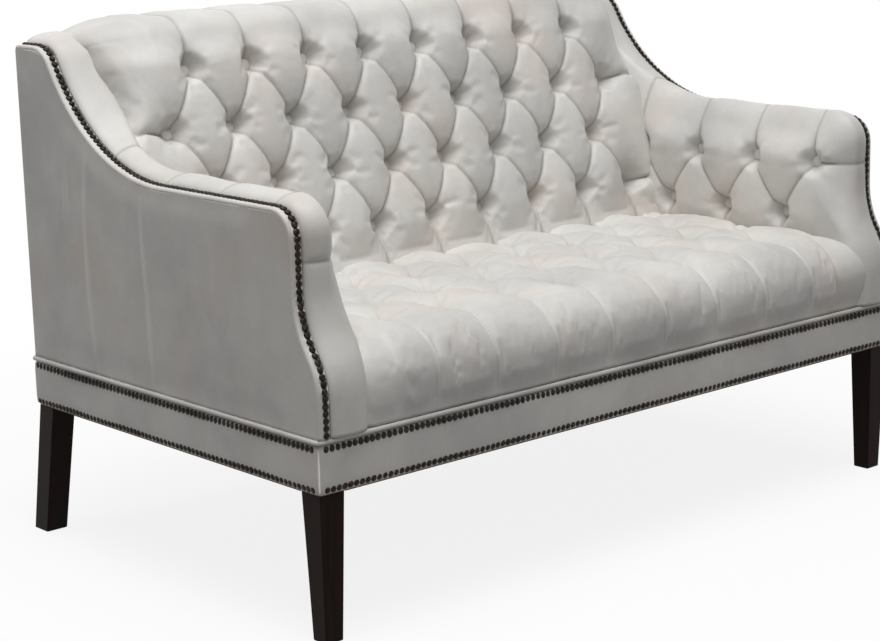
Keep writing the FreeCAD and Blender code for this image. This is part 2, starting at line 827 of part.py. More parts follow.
def make_dust_cover():
    sheet = block(-rail_out, rail_out, band_thickness, rear_depth, leg_height - dust_thickness, leg_height)
    room = max(front_leg_top, back_leg_top) + leg_inset + ease
    for sx in (-1, 1):
        for depth in (0, base_depth - room):
            x0 = half_width - room if sx > 0 else -half_width
            sheet = sheet.cut(block(x0, x0 + room, depth, depth + room, 0, leg_height))
    save(sheet, "dust_cover")


os.makedirs("parts", exist_ok=True)
make_seat_frame()
make_arm_and_back_frame()
make_suspension()
make_webbing()
make_seat()
make_back()
make_arms()
make_band()
make_nails()
make_legs()
make_dust_cover()
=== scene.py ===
"""Two-seat chesterfield: buttoned leather, nail heads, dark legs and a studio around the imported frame."""

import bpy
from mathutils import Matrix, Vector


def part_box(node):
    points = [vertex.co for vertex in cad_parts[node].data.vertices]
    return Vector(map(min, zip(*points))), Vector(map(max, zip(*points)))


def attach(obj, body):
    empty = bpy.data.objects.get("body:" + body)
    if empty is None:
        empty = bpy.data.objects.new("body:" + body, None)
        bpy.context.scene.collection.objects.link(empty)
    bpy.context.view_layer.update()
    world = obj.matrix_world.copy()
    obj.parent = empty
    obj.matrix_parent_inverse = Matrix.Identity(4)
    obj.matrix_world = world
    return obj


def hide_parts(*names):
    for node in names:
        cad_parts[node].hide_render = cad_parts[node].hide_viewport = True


bl_info = {
    "name": "Buttoned Leather Chesterfield",
    "version": (1, 0, 0),
    "blender": (4, 5, 0),
    "location": "View3D > Sidebar > Chesterfield",
    "description": "Dresses the sofa's frame in deep-buttoned leather with nail heads and dark wooden legs",
    "category": "Object",
}

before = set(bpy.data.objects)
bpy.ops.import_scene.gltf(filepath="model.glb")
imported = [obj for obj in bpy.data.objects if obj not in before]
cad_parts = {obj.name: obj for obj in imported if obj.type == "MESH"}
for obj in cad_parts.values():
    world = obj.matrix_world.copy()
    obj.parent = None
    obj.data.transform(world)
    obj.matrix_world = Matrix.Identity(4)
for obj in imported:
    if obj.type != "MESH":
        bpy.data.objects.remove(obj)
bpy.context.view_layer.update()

import math

import bmesh
import bpy
import numpy as np
from bpy.props import FloatProperty, FloatVectorProperty, IntProperty, PointerProperty
from mathutils import Matrix, Vector

X, Y, Z = 0, 1, 2
SIDES = (("left", -1.0), ("right", 1.0))

# Lengths that the pieces share
MERGE = 1e-5
CLEARANCE = 0.001
PLEAT_REACH = 0.003
WAVE_HEIGHT = 0.0012
WAVE_SIZE = 0.16

# Mesh steps round a corner of the base and along one of its sides
CORNER_STEPS = 8
SIDE_STEPS = 160

# How the leather behaves while it settles, and how deep in a hollow it is held
CLOTH = {"quality": 5, "mass": 0.01, "tension_stiffness": 15.0, "compression_stiffness": 15.0,
         "shear_stiffness": 6.0, "bending_stiffness": 0.3, "air_damping": 3.0, "use_pressure": True}
CLOTH_GRAVITY = 0.3
HELD_HOLLOW = 0.9


def low(node, axis):
    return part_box(node)[0][axis]


def high(node, axis):
    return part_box(node)[1][axis]


# Places read from the frame
FRONT = low("front_band", Y)
BASE_REAR = high("back_band", Y)
HALF_WIDTH = high("front_band", X)
LEG_TOP = low("front_band", Z)
BAND_TOP = high("front_band", Z)
PIPING_TOP = high("base_piping", Z)
SEAT_TOP = high("seat_cover", Z)
SEAT_HALF = high("seat_cover", X)
BACK_HALF = high("inside_back_cover", X)
BACK_TOP = high("inside_back_cover", Z)
ARM_FACE = low("right_inside_arm_cover", X)
RIM = high("outside_back_panel", X)
REAR = high("outside_back_panel", Y)
PANEL_TOP = high("outside_back_panel", Z)
COVER_FLOOR = low("outside_back_panel", Z)
EAR_TOP = high("right_outside_arm_cover", Z)

# Height at which the arms sweep up into the ears
ARM_TOP = 0.695


# Kinds of settings

def metres(name, default, description):
    return FloatProperty(name=name, default=default, unit="LENGTH", description=description)


def portion(name, default, description):
    return FloatProperty(name=name, default=default, subtype="FACTOR", min=0.0, max=1.0,
                         description=description)


def rgb(name, default, description):
    return FloatVectorProperty(name=name, default=default, subtype="COLOR", size=3, min=0, max=1,
                               description=description)


def degrees(name, default, description):
    return FloatProperty(name=name, default=math.radians(default), subtype="ANGLE", description=description)


def watts(name, default, description):
    return FloatProperty(name=name, default=default, subtype="POWER", description=description)


# Sizes and colours that a user would change

class ButtoningSizes(bpy.types.PropertyGroup):
    back_sharpness: portion("Back roundness", 0.52, "Low values make full pillows with sharp pleats")
    seat_sharpness: portion("Seat roundness", 0.95, "Low values make full pillows with sharp pleats")
    back_saddle: portion("Back pleat rise", 0.74, "How far a pleat rises between its two buttons")
    seat_saddle: portion("Seat pleat rise", 0.62, "How far a pleat rises between its two buttons")
    back_stuffing: metres("Back stuffing", 0.018, "How far the back's pillows swell over the cover's face")
    arm_stuffing: metres("Arm stuffing", 0.012, "How far the arms' pillows swell over the cover's face")
    arm_groove: metres("Arm pleat depth", 0.003, "Depth of the pleats that run straight over the arms")
    seat_stuffing: metres("Seat stuffing", 0.003, "How far the seat's pillows swell over the cover's face")
    groove: metres("Straight pleat depth", 0.0045, "Depth of the pleats that run straight to an edge")
    seat_groove: metres("Seat pleat depth", 0.0032, "Depth of the pleats that run down the seat's front")
    seat_fold: metres("Seat fold", 0.0026, "Depth of the short creases that leave the seat's buttons")
    seat_roll: metres("Seat front roll", 0.0045, "Swell of the seat's front between its straight pleats")
    back_roll: metres("Back roll swell", 0.0015, "Swell of the back's top between its straight pleats")
    lap: metres("Pleat lap", 0.0012, "Rise of the folded edge beside a straight pleat")
    groove_width: metres("Straight pleat width", 0.007,
                         "Distance in which a straight pleat fades into the leather")
    run_out: metres("Run-out", 0.065, "Distance in which a button's hollow fades into a straight pleat")
    well: metres("Button well", 0.007, "Radius of the flat bottom that holds a button")
    well_slope: metres("Well slope", 0.024, "Distance in which a button's well rises to the pillows")
    pucker: metres("Pucker", 0.0008, "Height of the gathers round each button")
    unevenness: metres("Unevenness", 0.0022, "How much hand-stuffed pillows differ")
    seat_slack: portion("Seat slack", 0.020,
                        "Share by which the seat's leather is longer than its first shape")
    back_slack: portion("Back slack", 0.010,
                        "Share by which the back's leather is longer than its first shape")
    pressure: FloatProperty(name="Stuffing pressure", default=4.0,
                            description="How hard the stuffing presses while the leather settles")
    settling: metres("Settling limit", 0.007, "Furthest that the leather moves while it settles")
    frames: IntProperty(name="Settling frames", default=14, min=2,
                        description="Frames in which the leather settles")
    seed: IntProperty(name="Seed", default=7, description="Picks which pillows differ")
    cells: IntProperty(name="Cells", default=24, min=6,
                       description="Mesh cells from one button row to the next")


class PadSizes(bpy.types.PropertyGroup):
    seat_nose: metres("Seat nose radius", 0.075, "Rounding of the seat's front edge")
    seat_side: metres("Seat side radius", 0.034, "Rounding of the seat where it meets the arms")
    seat_hold: metres("Seat hold", 0.040, "Length over which the seat's pleats die away above the piping")
    left_corner: metres("Left corner fullness", 0.028,
                        "How far the seat's left front corner swells over the arm")
    right_corner: metres("Right corner fullness", 0.056,
                         "How far the seat's right front corner swells over the arm")
    corner_push: portion("Corner push", 0.20, "Share of the right corner's fullness that goes forwards")
    corner_depth: metres("Corner depth", 0.075,
                         "Distance from the front in which the corners' fullness ends")
    seat_crown: metres("Seat crown", 0.006, "Rise of the stuffed seat in its middle")
    back_roll: metres("Back roll radius", 0.062, "Rounding of the back's top front edge")
    back_rear: metres("Back rear radius", 0.038, "Rounding of the back's top rear edge")
    back_side: metres("Back side radius", 0.016, "Rounding of the back where it meets the ears")
    back_overlap: metres("Back overlap", 0.032, "How far the back's sides press into the arms' stuffing")
    back_spread: metres("Back spread", 0.060,
                        "How much further the back's top reaches out over the ears' roll")
    back_ease: metres("Back ease", 0.062, "How far the back's upper corners ease back to the ears")
    back_drop: metres("Back drop", 0.036, "How far the back's top falls to the ears at its ends")
    arm_crown: metres("Arm crown", 0.016, "Rise of the arm's roll over its nail line")
    ear_crown: metres("Ear crown", 0.017, "Rise of the ear's roll over its nail line")
    toe_crown: metres("Toe crown", 0.008, "Rise of the roll at the foot of the arm's front")
    crest_place: metres("Crest place", 0.047, "Distance from the arm's inner face to the crest of its roll")
    front_corner: metres("Front corner", 0.030,
                         "Rounding between the arm's front and its inner face, low down")
    ear_crest_place: metres("Ear crest place", 0.020,
                            "Distance from the arm's inner face to the crest of the ear's roll")
    roll_fullness: FloatProperty(name="Roll fullness", default=1.4, min=1.05, max=3.0,
                                 description="2 rolls the arms' tops in an ellipse; less cuts the corner")
    nail_hold: metres("Nail hold", 0.018, "Distance from the nails in which pleats die away")
    ear_roll: metres("Ear roll", 0.075, "Height of the rounding between the ear's edge and its inner face")
    rim_radius: metres("Rim radius", 0.005, "Rounding of the outside panel's edge")
    panel_swell: metres("Panel swell", 0.004, "How far the padding swells the outside panels")
    panel_ripple: metres("Panel ripple", 0.0011, "Unevenness of the leather on the outside panels")
    panel_fold: metres("Panel fold", 0.0016, "Height of the long upright folds on the outside arms")
    panel_folds: FloatVectorProperty(name="Panel folds", size=2, default=(0.012, 0.182), unit="LENGTH",
                                     description="Depths at which the outside arms' long folds stand")
    band_swell: metres("Band swell", 0.0022, "How far the base band swells between its rows of nails")
    band_corner: metres("Band corner", 0.009, "Rounding of the base band's upright corners")
    band_seam: metres("Band seam", 0.012, "Place of the join in the front of the base band")


class LeatherLook(bpy.types.PropertyGroup):
    tone: rgb("Leather", (0.66, 0.645, 0.615), "Main colour of the hide")
    blush: rgb("Blush", (0.63, 0.565, 0.52), "Warm patches of the hand-rubbed finish")
    ash: rgb("Ash", (0.545, 0.537, 0.518), "Cool patches of the hand-rubbed finish")
    # Crease colour: painted shade along the pleats, and the darkening in the buttons' hollows
    crease: rgb("Crease", (0.22, 0.20, 0.175), "Wax and dust that stay in the pleats")
    worn: rgb("Worn", (0.86, 0.84, 0.80), "Pale leather on rubbed ridges")
    grain: metres("Grain size", 0.0013, "Size of one pebble of the leather's grain")


class TrimLook(bpy.types.PropertyGroup):
    bronze: rgb("Bronze", (0.010, 0.008, 0.006), "Aged nail heads")
    worn_bronze: rgb("Worn bronze", (0.055, 0.042, 0.030), "Crowns of the nail heads, rubbed bright")
    wood: rgb("Wood", (0.0090, 0.0046, 0.0036), "Dark stain of the legs")
    wood_light: rgb("Wood grain", (0.022, 0.0095, 0.0065), "Paler grain of the legs")
    leg_edge: metres("Leg edge", 0.0022, "Eased edge of the legs")


class StudioSizes(bpy.types.PropertyGroup):
    place: FloatVectorProperty(name="Camera place", subtype="TRANSLATION", size=3, unit="LENGTH",
                               default=(-2.6395, -2.9523, 1.2178), description="Where the camera stands")
    yaw: degrees("Yaw", 40.968, "Camera's turn from straight back towards the right")
    pitch: degrees("Pitch", 12.449, "Camera's tilt below the horizon")
    roll: degrees("Roll", -1.458, "Camera's roll about its own axis")
    lens: FloatProperty(name="Lens", default=88.95, description="Focal length in millimetres")
    overhead: watts("Overhead light", 250.0, "Power of the large light above the sofa")
    fill: watts("Front light", 5.0, "Power of the light beside the camera")
    ambient: FloatProperty(name="Ambient light", default=0.12,
                           description="Strength of the even light all round")


# Lines in the depth and height plane

def unit(vector):
    return vector / np.linalg.norm(vector)


def smooth(share):
    share = np.clip(share, 0.0, 1.0)
    return share * share * (3 - 2 * share)


def mix(first, second, share):
    return first + (second - first) * share


class Path:
    """A line of points, measured along its own length."""

    probe = 0.004
    samples = 4000

    def __init__(self, points):
        self.points = np.asarray(points, float)
        steps = np.linalg.norm(np.diff(self.points, axis=0), axis=1)
        self.reach = np.concatenate([[0.0], np.cumsum(steps)])
        self.length = self.reach[-1]

    def at(self, s):
        return np.stack([np.interp(s, self.reach, column) for column in self.points.T], axis=-1)

    def along(self, s, probe):
        """Unit direction of the line, from a probe's length behind to a probe's length ahead."""
        ahead = self.at(np.clip(s + probe, 0, self.length))
        behind = self.at(np.clip(s - probe, 0, self.length))
        way = ahead - behind
        return way / np.linalg.norm(way, axis=-1, keepdims=True)

    def outward(self, s):
        """Unit normal on the left of a flat line's direction."""
        way = self.along(s, self.probe)
        return np.stack([-way[..., 1], way[..., 0]], axis=-1)

    def nearest(self, point):
        """Length along the line to the place nearest a point, and the distance to it."""
        s = np.linspace(0, self.length, self.samples)
        gaps = np.linalg.norm(self.at(s) - point, axis=1)
        best = gaps.argmin()
        return s[best], gaps[best]


def rounded(corners, step=0.003):
    """Points along straight runs between (depth, height, corner radius) corners."""
    points = [np.array(corners[0][:2])]
    for before, here, after in zip(corners, corners[1:], corners[2:]):
        corner = np.array(here[:2])
        radius = here[2]
        back = unit(np.array(before[:2]) - corner)
        on = unit(np.array(after[:2]) - corner)
        half = math.acos(np.dot(back, on)) / 2
        centre = corner + unit(back + on) * radius / math.sin(half)
        start = corner + back * radius / math.tan(half) - centre
        end = corner + on * radius / math.tan(half) - centre
        sweep = math.pi - 2 * half
        for share in np.linspace(0, 1, max(4, math.ceil(sweep * radius / step))):
            spoke = start * math.sin((1 - share) * sweep) + end * math.sin(share * sweep)
            points.append(centre + spoke / math.sin(sweep))
    points.append(np.array(corners[-1][:2]))
    return points


# What the frame's small solids say about places

def solids_of(node):
    """Points of each separate solid in a CAD node."""
    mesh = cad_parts[node].data
    points = np.empty(len(mesh.vertices) * 3)
    mesh.vertices.foreach_get("co", points)
    points = points.reshape(-1, 3)
    spots, same = np.unique(np.round(points / MERGE).astype(np.int64), axis=0, return_inverse=True)
    loops = np.empty(len(mesh.loops), np.int64)
    mesh.loops.foreach_get("vertex_index", loops)
    faces = same.ravel()[loops].reshape(-1, 3)
    label = np.arange(len(spots))
    settled = False
    while not settled:
        lowest = label.copy()
        np.minimum.at(lowest, faces.ravel(), np.repeat(label[faces].min(axis=1), 3))
        lowest = lowest[lowest]
        settled = bool((lowest == label).all())
        label = lowest
    order = np.argsort(label, kind="stable")
    cuts = np.flatnonzero(np.diff(label[order])) + 1
    return [spots[group] * MERGE for group in np.split(order, cuts)]


def heads_of(node, middle):
    """Foot and direction of each flat round solid, such as a nail or a button, facing away from middle."""
    feet = []
    axes = []
    for points in solids_of(node):
        centre = (points.min(axis=0) + points.max(axis=0)) / 2
        axis = np.linalg.svd(points - points.mean(axis=0), full_matrices=False)[2][2]
        if np.dot(axis, centre - middle) < 0:
            axis = -axis
        height = (points - centre) @ axis
        rim = points[height < height.min() + 10 * MERGE]
        feet.append((rim.min(axis=0) + rim.max(axis=0)) / 2)
        axes.append(axis)
    return np.array(feet), np.array(axes)


def nail_line(side):
    """The outline of an arm, along the feet of its nails, from the front of the base up to the ear."""
    name = "left" if side < 0 else "right"
    middle = np.array([side * HALF_WIDTH, REAR, SEAT_TOP])
    feet = heads_of(name + "_arm_nails", middle)[0][:, 1:]
    left = list(range(len(feet)))
    here = int(feet[:, 1].argmin())
    order = []
    while left:
        here = min(left, key=lambda i: np.linalg.norm(feet[i] - feet[here]))
        left.remove(here)
        order.append(here)
    line = feet[order]
    floor = np.array([[line[0][0], COVER_FLOOR]])
    rear = np.array([[REAR, line[-1][1]]])
    return Path(np.concatenate([floor, line, rear]))


# Buttoned surfaces

class Buttoning:
    """Staggered buttons on a surface, with pleats between them and straight pleats out to its edges."""

    table = 64
    draws = 6
    well_round = 0.6
    lap_place, lap_width = 0.0045, 0.003
    crease_width, crease_reach = 0.0035, 0.042
    gathers = (5, 7, 9, 12)
    gather_start, gather_reach = 0.012, 0.030

    def __init__(self, across, along, depth, sizes, seed, sharpness, saddle, stuffing, groove, fold=0.0,
                 roll=0.0, full_sides=True):
        rows = np.unique(np.round(along, 4))
        columns = np.unique(np.round(across, 4))
        self.low_row, self.high_row = rows[0], rows[-1]
        self.low_column, self.high_column = columns[0], columns[-1]
        self.rise = (rows[-1] - rows[0]) / (len(rows) - 1)
        self.pitch = 2 * (columns[-1] - columns[0]) / (len(columns) - 1)
        self.start = (across[0], along[0])
        self.depth = depth
        self.sharpness, self.saddle, self.stuffing = sharpness, saddle, stuffing
        self.groove_share = groove / depth
        self.fold, self.roll, self.full_sides = fold, roll, full_sides
        self.sizes = sizes
        self.chance = np.random.RandomState(seed).rand(self.table, self.table, self.draws)

    def puff(self, share):
        return (4 * share * (1 - share)) ** self.sharpness

    def pillow(self, first, second):
        return self.saddle * (first + second) + (1 - 2 * self.saddle) * first * second

    def groove(self, gap):
        return 1 - self.groove_share * np.exp(-gap / self.sizes.groove_width)

    def height(self, across, along):
        """Height of the leather over the cover's face, and the distance to the nearest pleat."""
        column = np.clip(across, self.low_column, self.high_column)
        row = np.clip(along, self.low_row, self.high_row)
        sideways = (column - self.start[0]) / self.pitch
        upwards = (row - self.start[1]) / (2 * self.rise)
        rising, falling = sideways + upwards, sideways - upwards
        lean = rising - np.round(rising)
        first, second = np.abs(lean), np.abs(falling - np.round(falling))
        first_puff, second_puff = self.puff(first), self.puff(second)
        pillow = self.pillow(first_puff, second_puff)
        gap = np.minimum(first, second) * self.pitch * self.rise / math.hypot(self.pitch / 2, self.rise)
        row_gap, end_gap = first * self.pitch, first * 2 * self.rise
        beside, beyond = np.abs(across - column), np.abs(along - row)
        fade_ends, fade_rows = smooth(beside / self.sizes.run_out), smooth(beyond / self.sizes.run_out)
        on_rows = (beyond > 0) & (beside == 0)
        on_ends = (beside > 0) & (beyond == 0)
        on_corner = (beside > 0) & (beyond > 0)
        pillow = np.where(on_rows, mix(pillow, self.groove(row_gap), fade_rows), pillow)
        pillow = np.where(on_ends, mix(pillow, self.groove(end_gap), fade_ends), pillow)
        gap = np.where(on_rows, row_gap, gap)
        gap = np.where(on_ends, end_gap, gap)
        turned = self.corner(beside, beyond, fade_ends, fade_rows)
        buttoned = first < 0.25
        pillow = np.where(on_corner, np.where(buttoned, turned, 1.0), pillow)
        gap = np.where(on_corner, np.where(buttoned, np.minimum(beside, beyond), self.pitch), gap)
        reach, folds = self.round_button(across, along, np.round(rising), np.round(falling))
        pillow = pillow * smooth((reach - self.sizes.well) / self.sizes.well_slope) ** self.well_round
        inside = 1 - smooth(np.hypot(beside * (not self.full_sides), beyond) / self.sizes.run_out)
        uneven = self.uneven(rising, falling) * first_puff * second_puff * inside
        swell = self.stuffing * pillow * inside
        rolling = np.where(on_rows, fade_rows, 0.0)
        rolled = rolling * self.roll * np.sin(math.pi * first)
        lap = (lean * self.pitch - self.lap_place) / self.lap_width
        lapped = rolling * self.sizes.lap * np.exp(-lap ** 2)
        crease = self.fold * np.exp(-gap / self.crease_width) * np.exp(-(reach / self.crease_reach) ** 2)
        return -self.depth * (1 - pillow) + swell + uneven + rolled + lapped + folds - crease, gap

    def corner(self, beside, beyond, fade_ends, fade_rows):
        """The leather round a corner button, between its two straight pleats."""
        side_puff = self.puff(np.minimum(beside / self.pitch, 0.5))
        end_puff = self.puff(np.minimum(beyond / (2 * self.rise), 0.5))
        first = mix(self.pillow(side_puff, side_puff), self.groove(beside), fade_rows)
        second = mix(self.pillow(end_puff, end_puff), self.groove(beyond), fade_ends)
        return mix(first, second, smooth(np.arctan2(beside, beyond) / (math.pi / 2)))

    def drawn(self, rising, falling, number):
        """A number from 0 to 1 for each place of the lattice, the same on every run."""
        return self.chance[rising.astype(int) % self.table, falling.astype(int) % self.table, number]

    def uneven(self, rising, falling):
        """A little more or less stuffing in each pillow."""
        return (self.drawn(np.floor(rising), np.floor(falling), 0) * 2 - 1) * self.sizes.unevenness

    def round_button(self, across, along, rising, falling):
        """Distance to the button at a place of the lattice, and the small gathers that run out from it."""
        column = self.start[0] + (rising + falling) / 2 * self.pitch
        row = self.start[1] + (rising - falling) * self.rise
        spare = np.maximum(np.abs(column - np.clip(column, self.low_column, self.high_column)),
                           np.abs(row - np.clip(row, self.low_row, self.high_row)))
        reach = np.where(spare < self.rise / 2, np.hypot(across - column, along - row), self.pitch)
        turn = np.arctan2(along - row, across - column)
        folds = sum(np.cos(count * turn + 2 * math.pi * self.drawn(rising, falling, number))
                    for number, count in enumerate(self.gathers, 1))
        near = np.exp(-reach / self.gather_reach) * smooth((reach - self.sizes.well) / self.gather_start)
        return reach, folds * near * self.sizes.pucker


def ripple(points, size, seed):
    """Gentle waves of about a given size, from about -1 to 1, the same on every run."""
    waves, usual_peak = 10, 4
    chance = np.random.RandomState(seed)
    total = 0.0
    for _ in range(waves):
        direction = unit(chance.normal(size=3)) * (2 * math.pi / size) * chance.uniform(0.6, 1.5)
        total = total + np.sin(points @ direction + chance.uniform(0, 2 * math.pi))
    return total / usual_peak


def waviness(points, seed):
    """Slight waves of stuffed leather."""
    return WAVE_HEIGHT * ripple(points, WAVE_SIZE, seed)


# Meshes

class Shell:
    """Grids of points that are merged into one mesh."""

    split_reach = 0.02

    def __init__(self):
        self.points = []
        self.faces = []
        self.gaps = []
        self.hollows = []
        self.count = 0

    def grid(self, points, gaps=None, hollows=None):
        """Add a grid of rows and columns. Each cell near a pleat is split along the pleat."""
        rows, columns = points.shape[:2]
        gaps = np.full((rows, columns), 1.0) if gaps is None else gaps
        hollows = np.zeros((rows, columns)) if hollows is None else hollows
        index = np.arange(rows * columns).reshape(rows, columns) + self.count
        a, b, c, d = index[:-1, :-1], index[:-1, 1:], index[1:, 1:], index[1:, :-1]
        first = gaps[:-1, :-1] + gaps[1:, 1:]
        second = gaps[:-1, 1:] + gaps[1:, :-1]
        near = np.minimum(first, second) < self.split_reach
        split = near & (first <= second)
        other = near & (first > second)
        self.faces += np.stack([a, b, c, d], -1)[~near].tolist()
        for chosen, corners in ((split, ((a, b, c), (a, c, d))), (other, ((a, b, d), (b, c, d)))):
            for triangle in corners:
                self.faces += np.stack(triangle, -1)[chosen].tolist()
        self.points.append(points.reshape(-1, 3))
        self.gaps.append(gaps.ravel())
        self.hollows.append(hollows.ravel())
        self.count += rows * columns

    def mesh(self, name, mirror=False, close=None):
        """Join the grids, close the open back with moved edge points, and point the faces outwards."""
        points = np.concatenate(self.points)
        if mirror:
            points = points * np.array([-1.0, 1.0, 1.0])
        data = bpy.data.meshes.new(name)
        data.from_pydata(points.tolist(), [], self.faces)
        # The pleat attribute is the mask for the leather's painted shade along its pleats
        closeness = np.exp(-np.concatenate(self.gaps) / PLEAT_REACH)
        for label, values in (("pleat", closeness), ("hollow", np.concatenate(self.hollows))):
            attribute = data.attributes.new(label, "FLOAT", "POINT")
            attribute.data.foreach_set("value", values.astype(np.float32))
        work = bmesh.new()
        work.from_mesh(data)
        bmesh.ops.remove_doubles(work, verts=work.verts, dist=MERGE)
        bmesh.ops.dissolve_degenerate(work, edges=work.edges, dist=MERGE)
        if close is not None:
            close_back(work, close)
        bmesh.ops.recalc_face_normals(work, faces=work.faces)
        for face in work.faces:
            face.smooth = True
        work.to_mesh(data)
        work.free()
        return data


def close_back(work, moved):
    """Carry the open edge to moved places and fill it there."""
    edges = [e for e in work.edges if e.is_boundary]
    made = bmesh.ops.extrude_edge_only(work, edges=edges)["geom"]
    for item in made:
        if isinstance(item, bmesh.types.BMVert):
            item.co = moved(item.co)
    rim = [e for e in made if isinstance(e, bmesh.types.BMEdge) and e.is_boundary]
    filled = bmesh.ops.holes_fill(work, edges=rim)["faces"]
    bmesh.ops.triangulate(work, faces=filled)


def place(name, mesh, material, slot, replaced=(), fill=None):
    """Put a finished mesh in the scene as a piece of the sofa."""
    piece = bpy.data.objects.new(name, mesh)
    bpy.context.scene.collection.objects.link(piece)
    mesh.materials.clear()
    mesh.materials.append(material)
    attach(piece, "root")
    if replaced:
        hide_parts(*replaced)
    return piece


def pad_grid(profile, lengths, columns, buttoning, bulge=None, spread=None, holds=(0.0, 0.0)):
    """Points, pleat distances and hollows of a pad swept along a profile.

    Each column is (x, lattice place, set-back, lean): the pad's side edges set back and lean outwards.
    A spread moves the sides out and eases them back, row by row.
    Pleats die away in the holds' lengths at both ends.
    """
    x, u, setback, lean = columns
    line, normal = profile.at(lengths), profile.outward(lengths)
    points = np.empty((len(lengths), len(x), 3))
    points[..., 0] = x
    eased = 0.0
    if spread is not None:
        end = buttoning.high_column
        side = np.clip((np.abs(x) - end) / (np.abs(x).max() - end), 0, 1) * np.sign(x)
        sideways, eased = spread(line)
        points[..., 0] += sideways[:, None] * side
        eased = eased[:, None, :] * (side ** 2)[None, :, None]
    points[..., 1:] = line[:, None, :] - normal[:, None, :] * setback[None, :, None] + eased
    out = np.empty_like(points)
    out[..., 0] = np.sin(lean)
    out[..., 1:] = normal[:, None, :] * np.cos(lean)[None, :, None]
    height, gap = buttoning.height(np.broadcast_to(u, points.shape[:2]), lengths[:, None] + 0 * u[None, :])
    for left, hold in zip((lengths, profile.length - lengths), holds):
        if hold > 0:
            height = height * smooth(left / hold)[:, None]
    hollow = np.clip(-height / buttoning.depth, 0, 1)
    height = height + waviness(points, seed=3)
    if bulge is not None:
        height = height + bulge(points)
    return points + out * height[..., None], gap, hollow


def spread_out(values, kept, count, axis):
    """Fill in rows or columns between the kept ones."""
    places = np.arange(count)
    after = np.clip(np.searchsorted(kept, places), 1, len(kept) - 1)
    before = after - 1
    share = (places - kept[before]) / (kept[after] - kept[before])
    shape = [1] * values.ndim
    shape[axis] = count
    return mix(np.take(values, before, axis), np.take(values, after, axis), share.reshape(shape))


def settled(points, hollow, sizes, slack, share=1.0):
    """Let a pad's leather settle as cloth over its stuffing, held at its buttons and edges.

    The cloth is a coarser copy with some slack; a share of how far it moves goes back to the full grid.
    """
    rows, columns = points.shape[:2]
    kept_rows = np.unique(np.append(np.arange(0, rows, 2), rows - 1))
    kept_columns = np.unique(np.append(np.arange(0, columns, 2), columns - 1))
    coarse = points[np.ix_(kept_rows, kept_columns)]
    held = hollow[np.ix_(kept_rows, kept_columns)] > HELD_HOLLOW
    held[[0, -1]] = True
    held[:, [0, -1]] = True
    index = np.arange(held.size).reshape(held.shape)
    faces = np.stack([index[:-1, :-1], index[:-1, 1:], index[1:, 1:], index[1:, :-1]], -1).reshape(-1, 4)
    mesh = bpy.data.meshes.new("settling_leather")
    mesh.from_pydata(coarse.reshape(-1, 3).tolist(), [], faces.tolist())
    sheet = bpy.data.objects.new("settling_leather", mesh)
    scene = bpy.context.scene
    scene.collection.objects.link(sheet)
    sheet.vertex_groups.new(name="held").add(index[held].tolist(), 1.0, "REPLACE")
    cloth = sheet.modifiers.new("leather", "CLOTH")
    settings = cloth.settings
    for key, value in CLOTH.items():
        setattr(settings, key, value)
    settings.vertex_group_mass = "held"
    settings.shrink_min = -slack
    settings.uniform_pressure_force = sizes.pressure
    settings.effector_weights.gravity = CLOTH_GRAVITY
    cloth.point_cache.frame_start, cloth.point_cache.frame_end = 1, sizes.frames
    for number in range(1, sizes.frames + 1):
        scene.frame_set(number)
    result = sheet.evaluated_get(bpy.context.evaluated_depsgraph_get()).to_mesh()
    moved = np.empty(held.size * 3)
    result.vertices.foreach_get("co", moved)
    scene.frame_set(1)
    bpy.data.objects.remove(sheet)
    bpy.data.meshes.remove(mesh)
    shift = moved.reshape(coarse.shape) - coarse
    far = np.linalg.norm(shift, axis=-1, keepdims=True)
    shift = shift * sizes.settling * np.tanh(far / sizes.settling) / np.maximum(far, MERGE)
    return points + share * spread_out(spread_out(shift, kept_rows, rows, 0), kept_columns, columns, 1)


def pad_columns(half, radius, buttoning, cells):
    """Columns of a pad between two rounded side edges, lined up with its buttons."""
    end = buttoning.high_column
    inner = np.linspace(-end, end, round(2 * end / buttoning.pitch) * 2 * cells + 1)
    flat = half - radius - end
    total = flat + radius * math.pi / 2
    reach = np.linspace(0, total, cells + 1)[1:]
    turn = np.clip((reach - flat) / radius, 0, None)
    x = np.where(turn > 0, half - radius + radius * np.sin(turn), end + reach)
    setback = radius * (1 - np.cos(turn))
    u = end + reach

    def join(side, middle, sign):
        return np.concatenate([sign * side[::-1], middle, side])

    return join(x, inner, -1), join(u, inner, -1), join(setback, 0 * inner, 1), join(turn, 0 * inner, -1)


def row_lengths(profile, buttoning, cells):
    """Lengths along a profile for the rows of a pad, lined up with its buttons."""
    step = buttoning.rise / cells
    rows = round((buttoning.high_row - buttoning.low_row) / buttoning.rise)
    before = np.linspace(0, buttoning.low_row, max(2, round(buttoning.low_row / step)) + 1)
    middle = np.linspace(buttoning.low_row, buttoning.high_row, rows * cells + 1)
    rest = profile.length - buttoning.high_row
    after = np.linspace(buttoning.high_row, profile.length, max(2, round(rest / step)) + 1)
    return np.concatenate([before[:-1], middle, after[1:]])


class SofaStep:
    """What the operators have in common"""
    bl_options = {"REGISTER", "UNDO"}


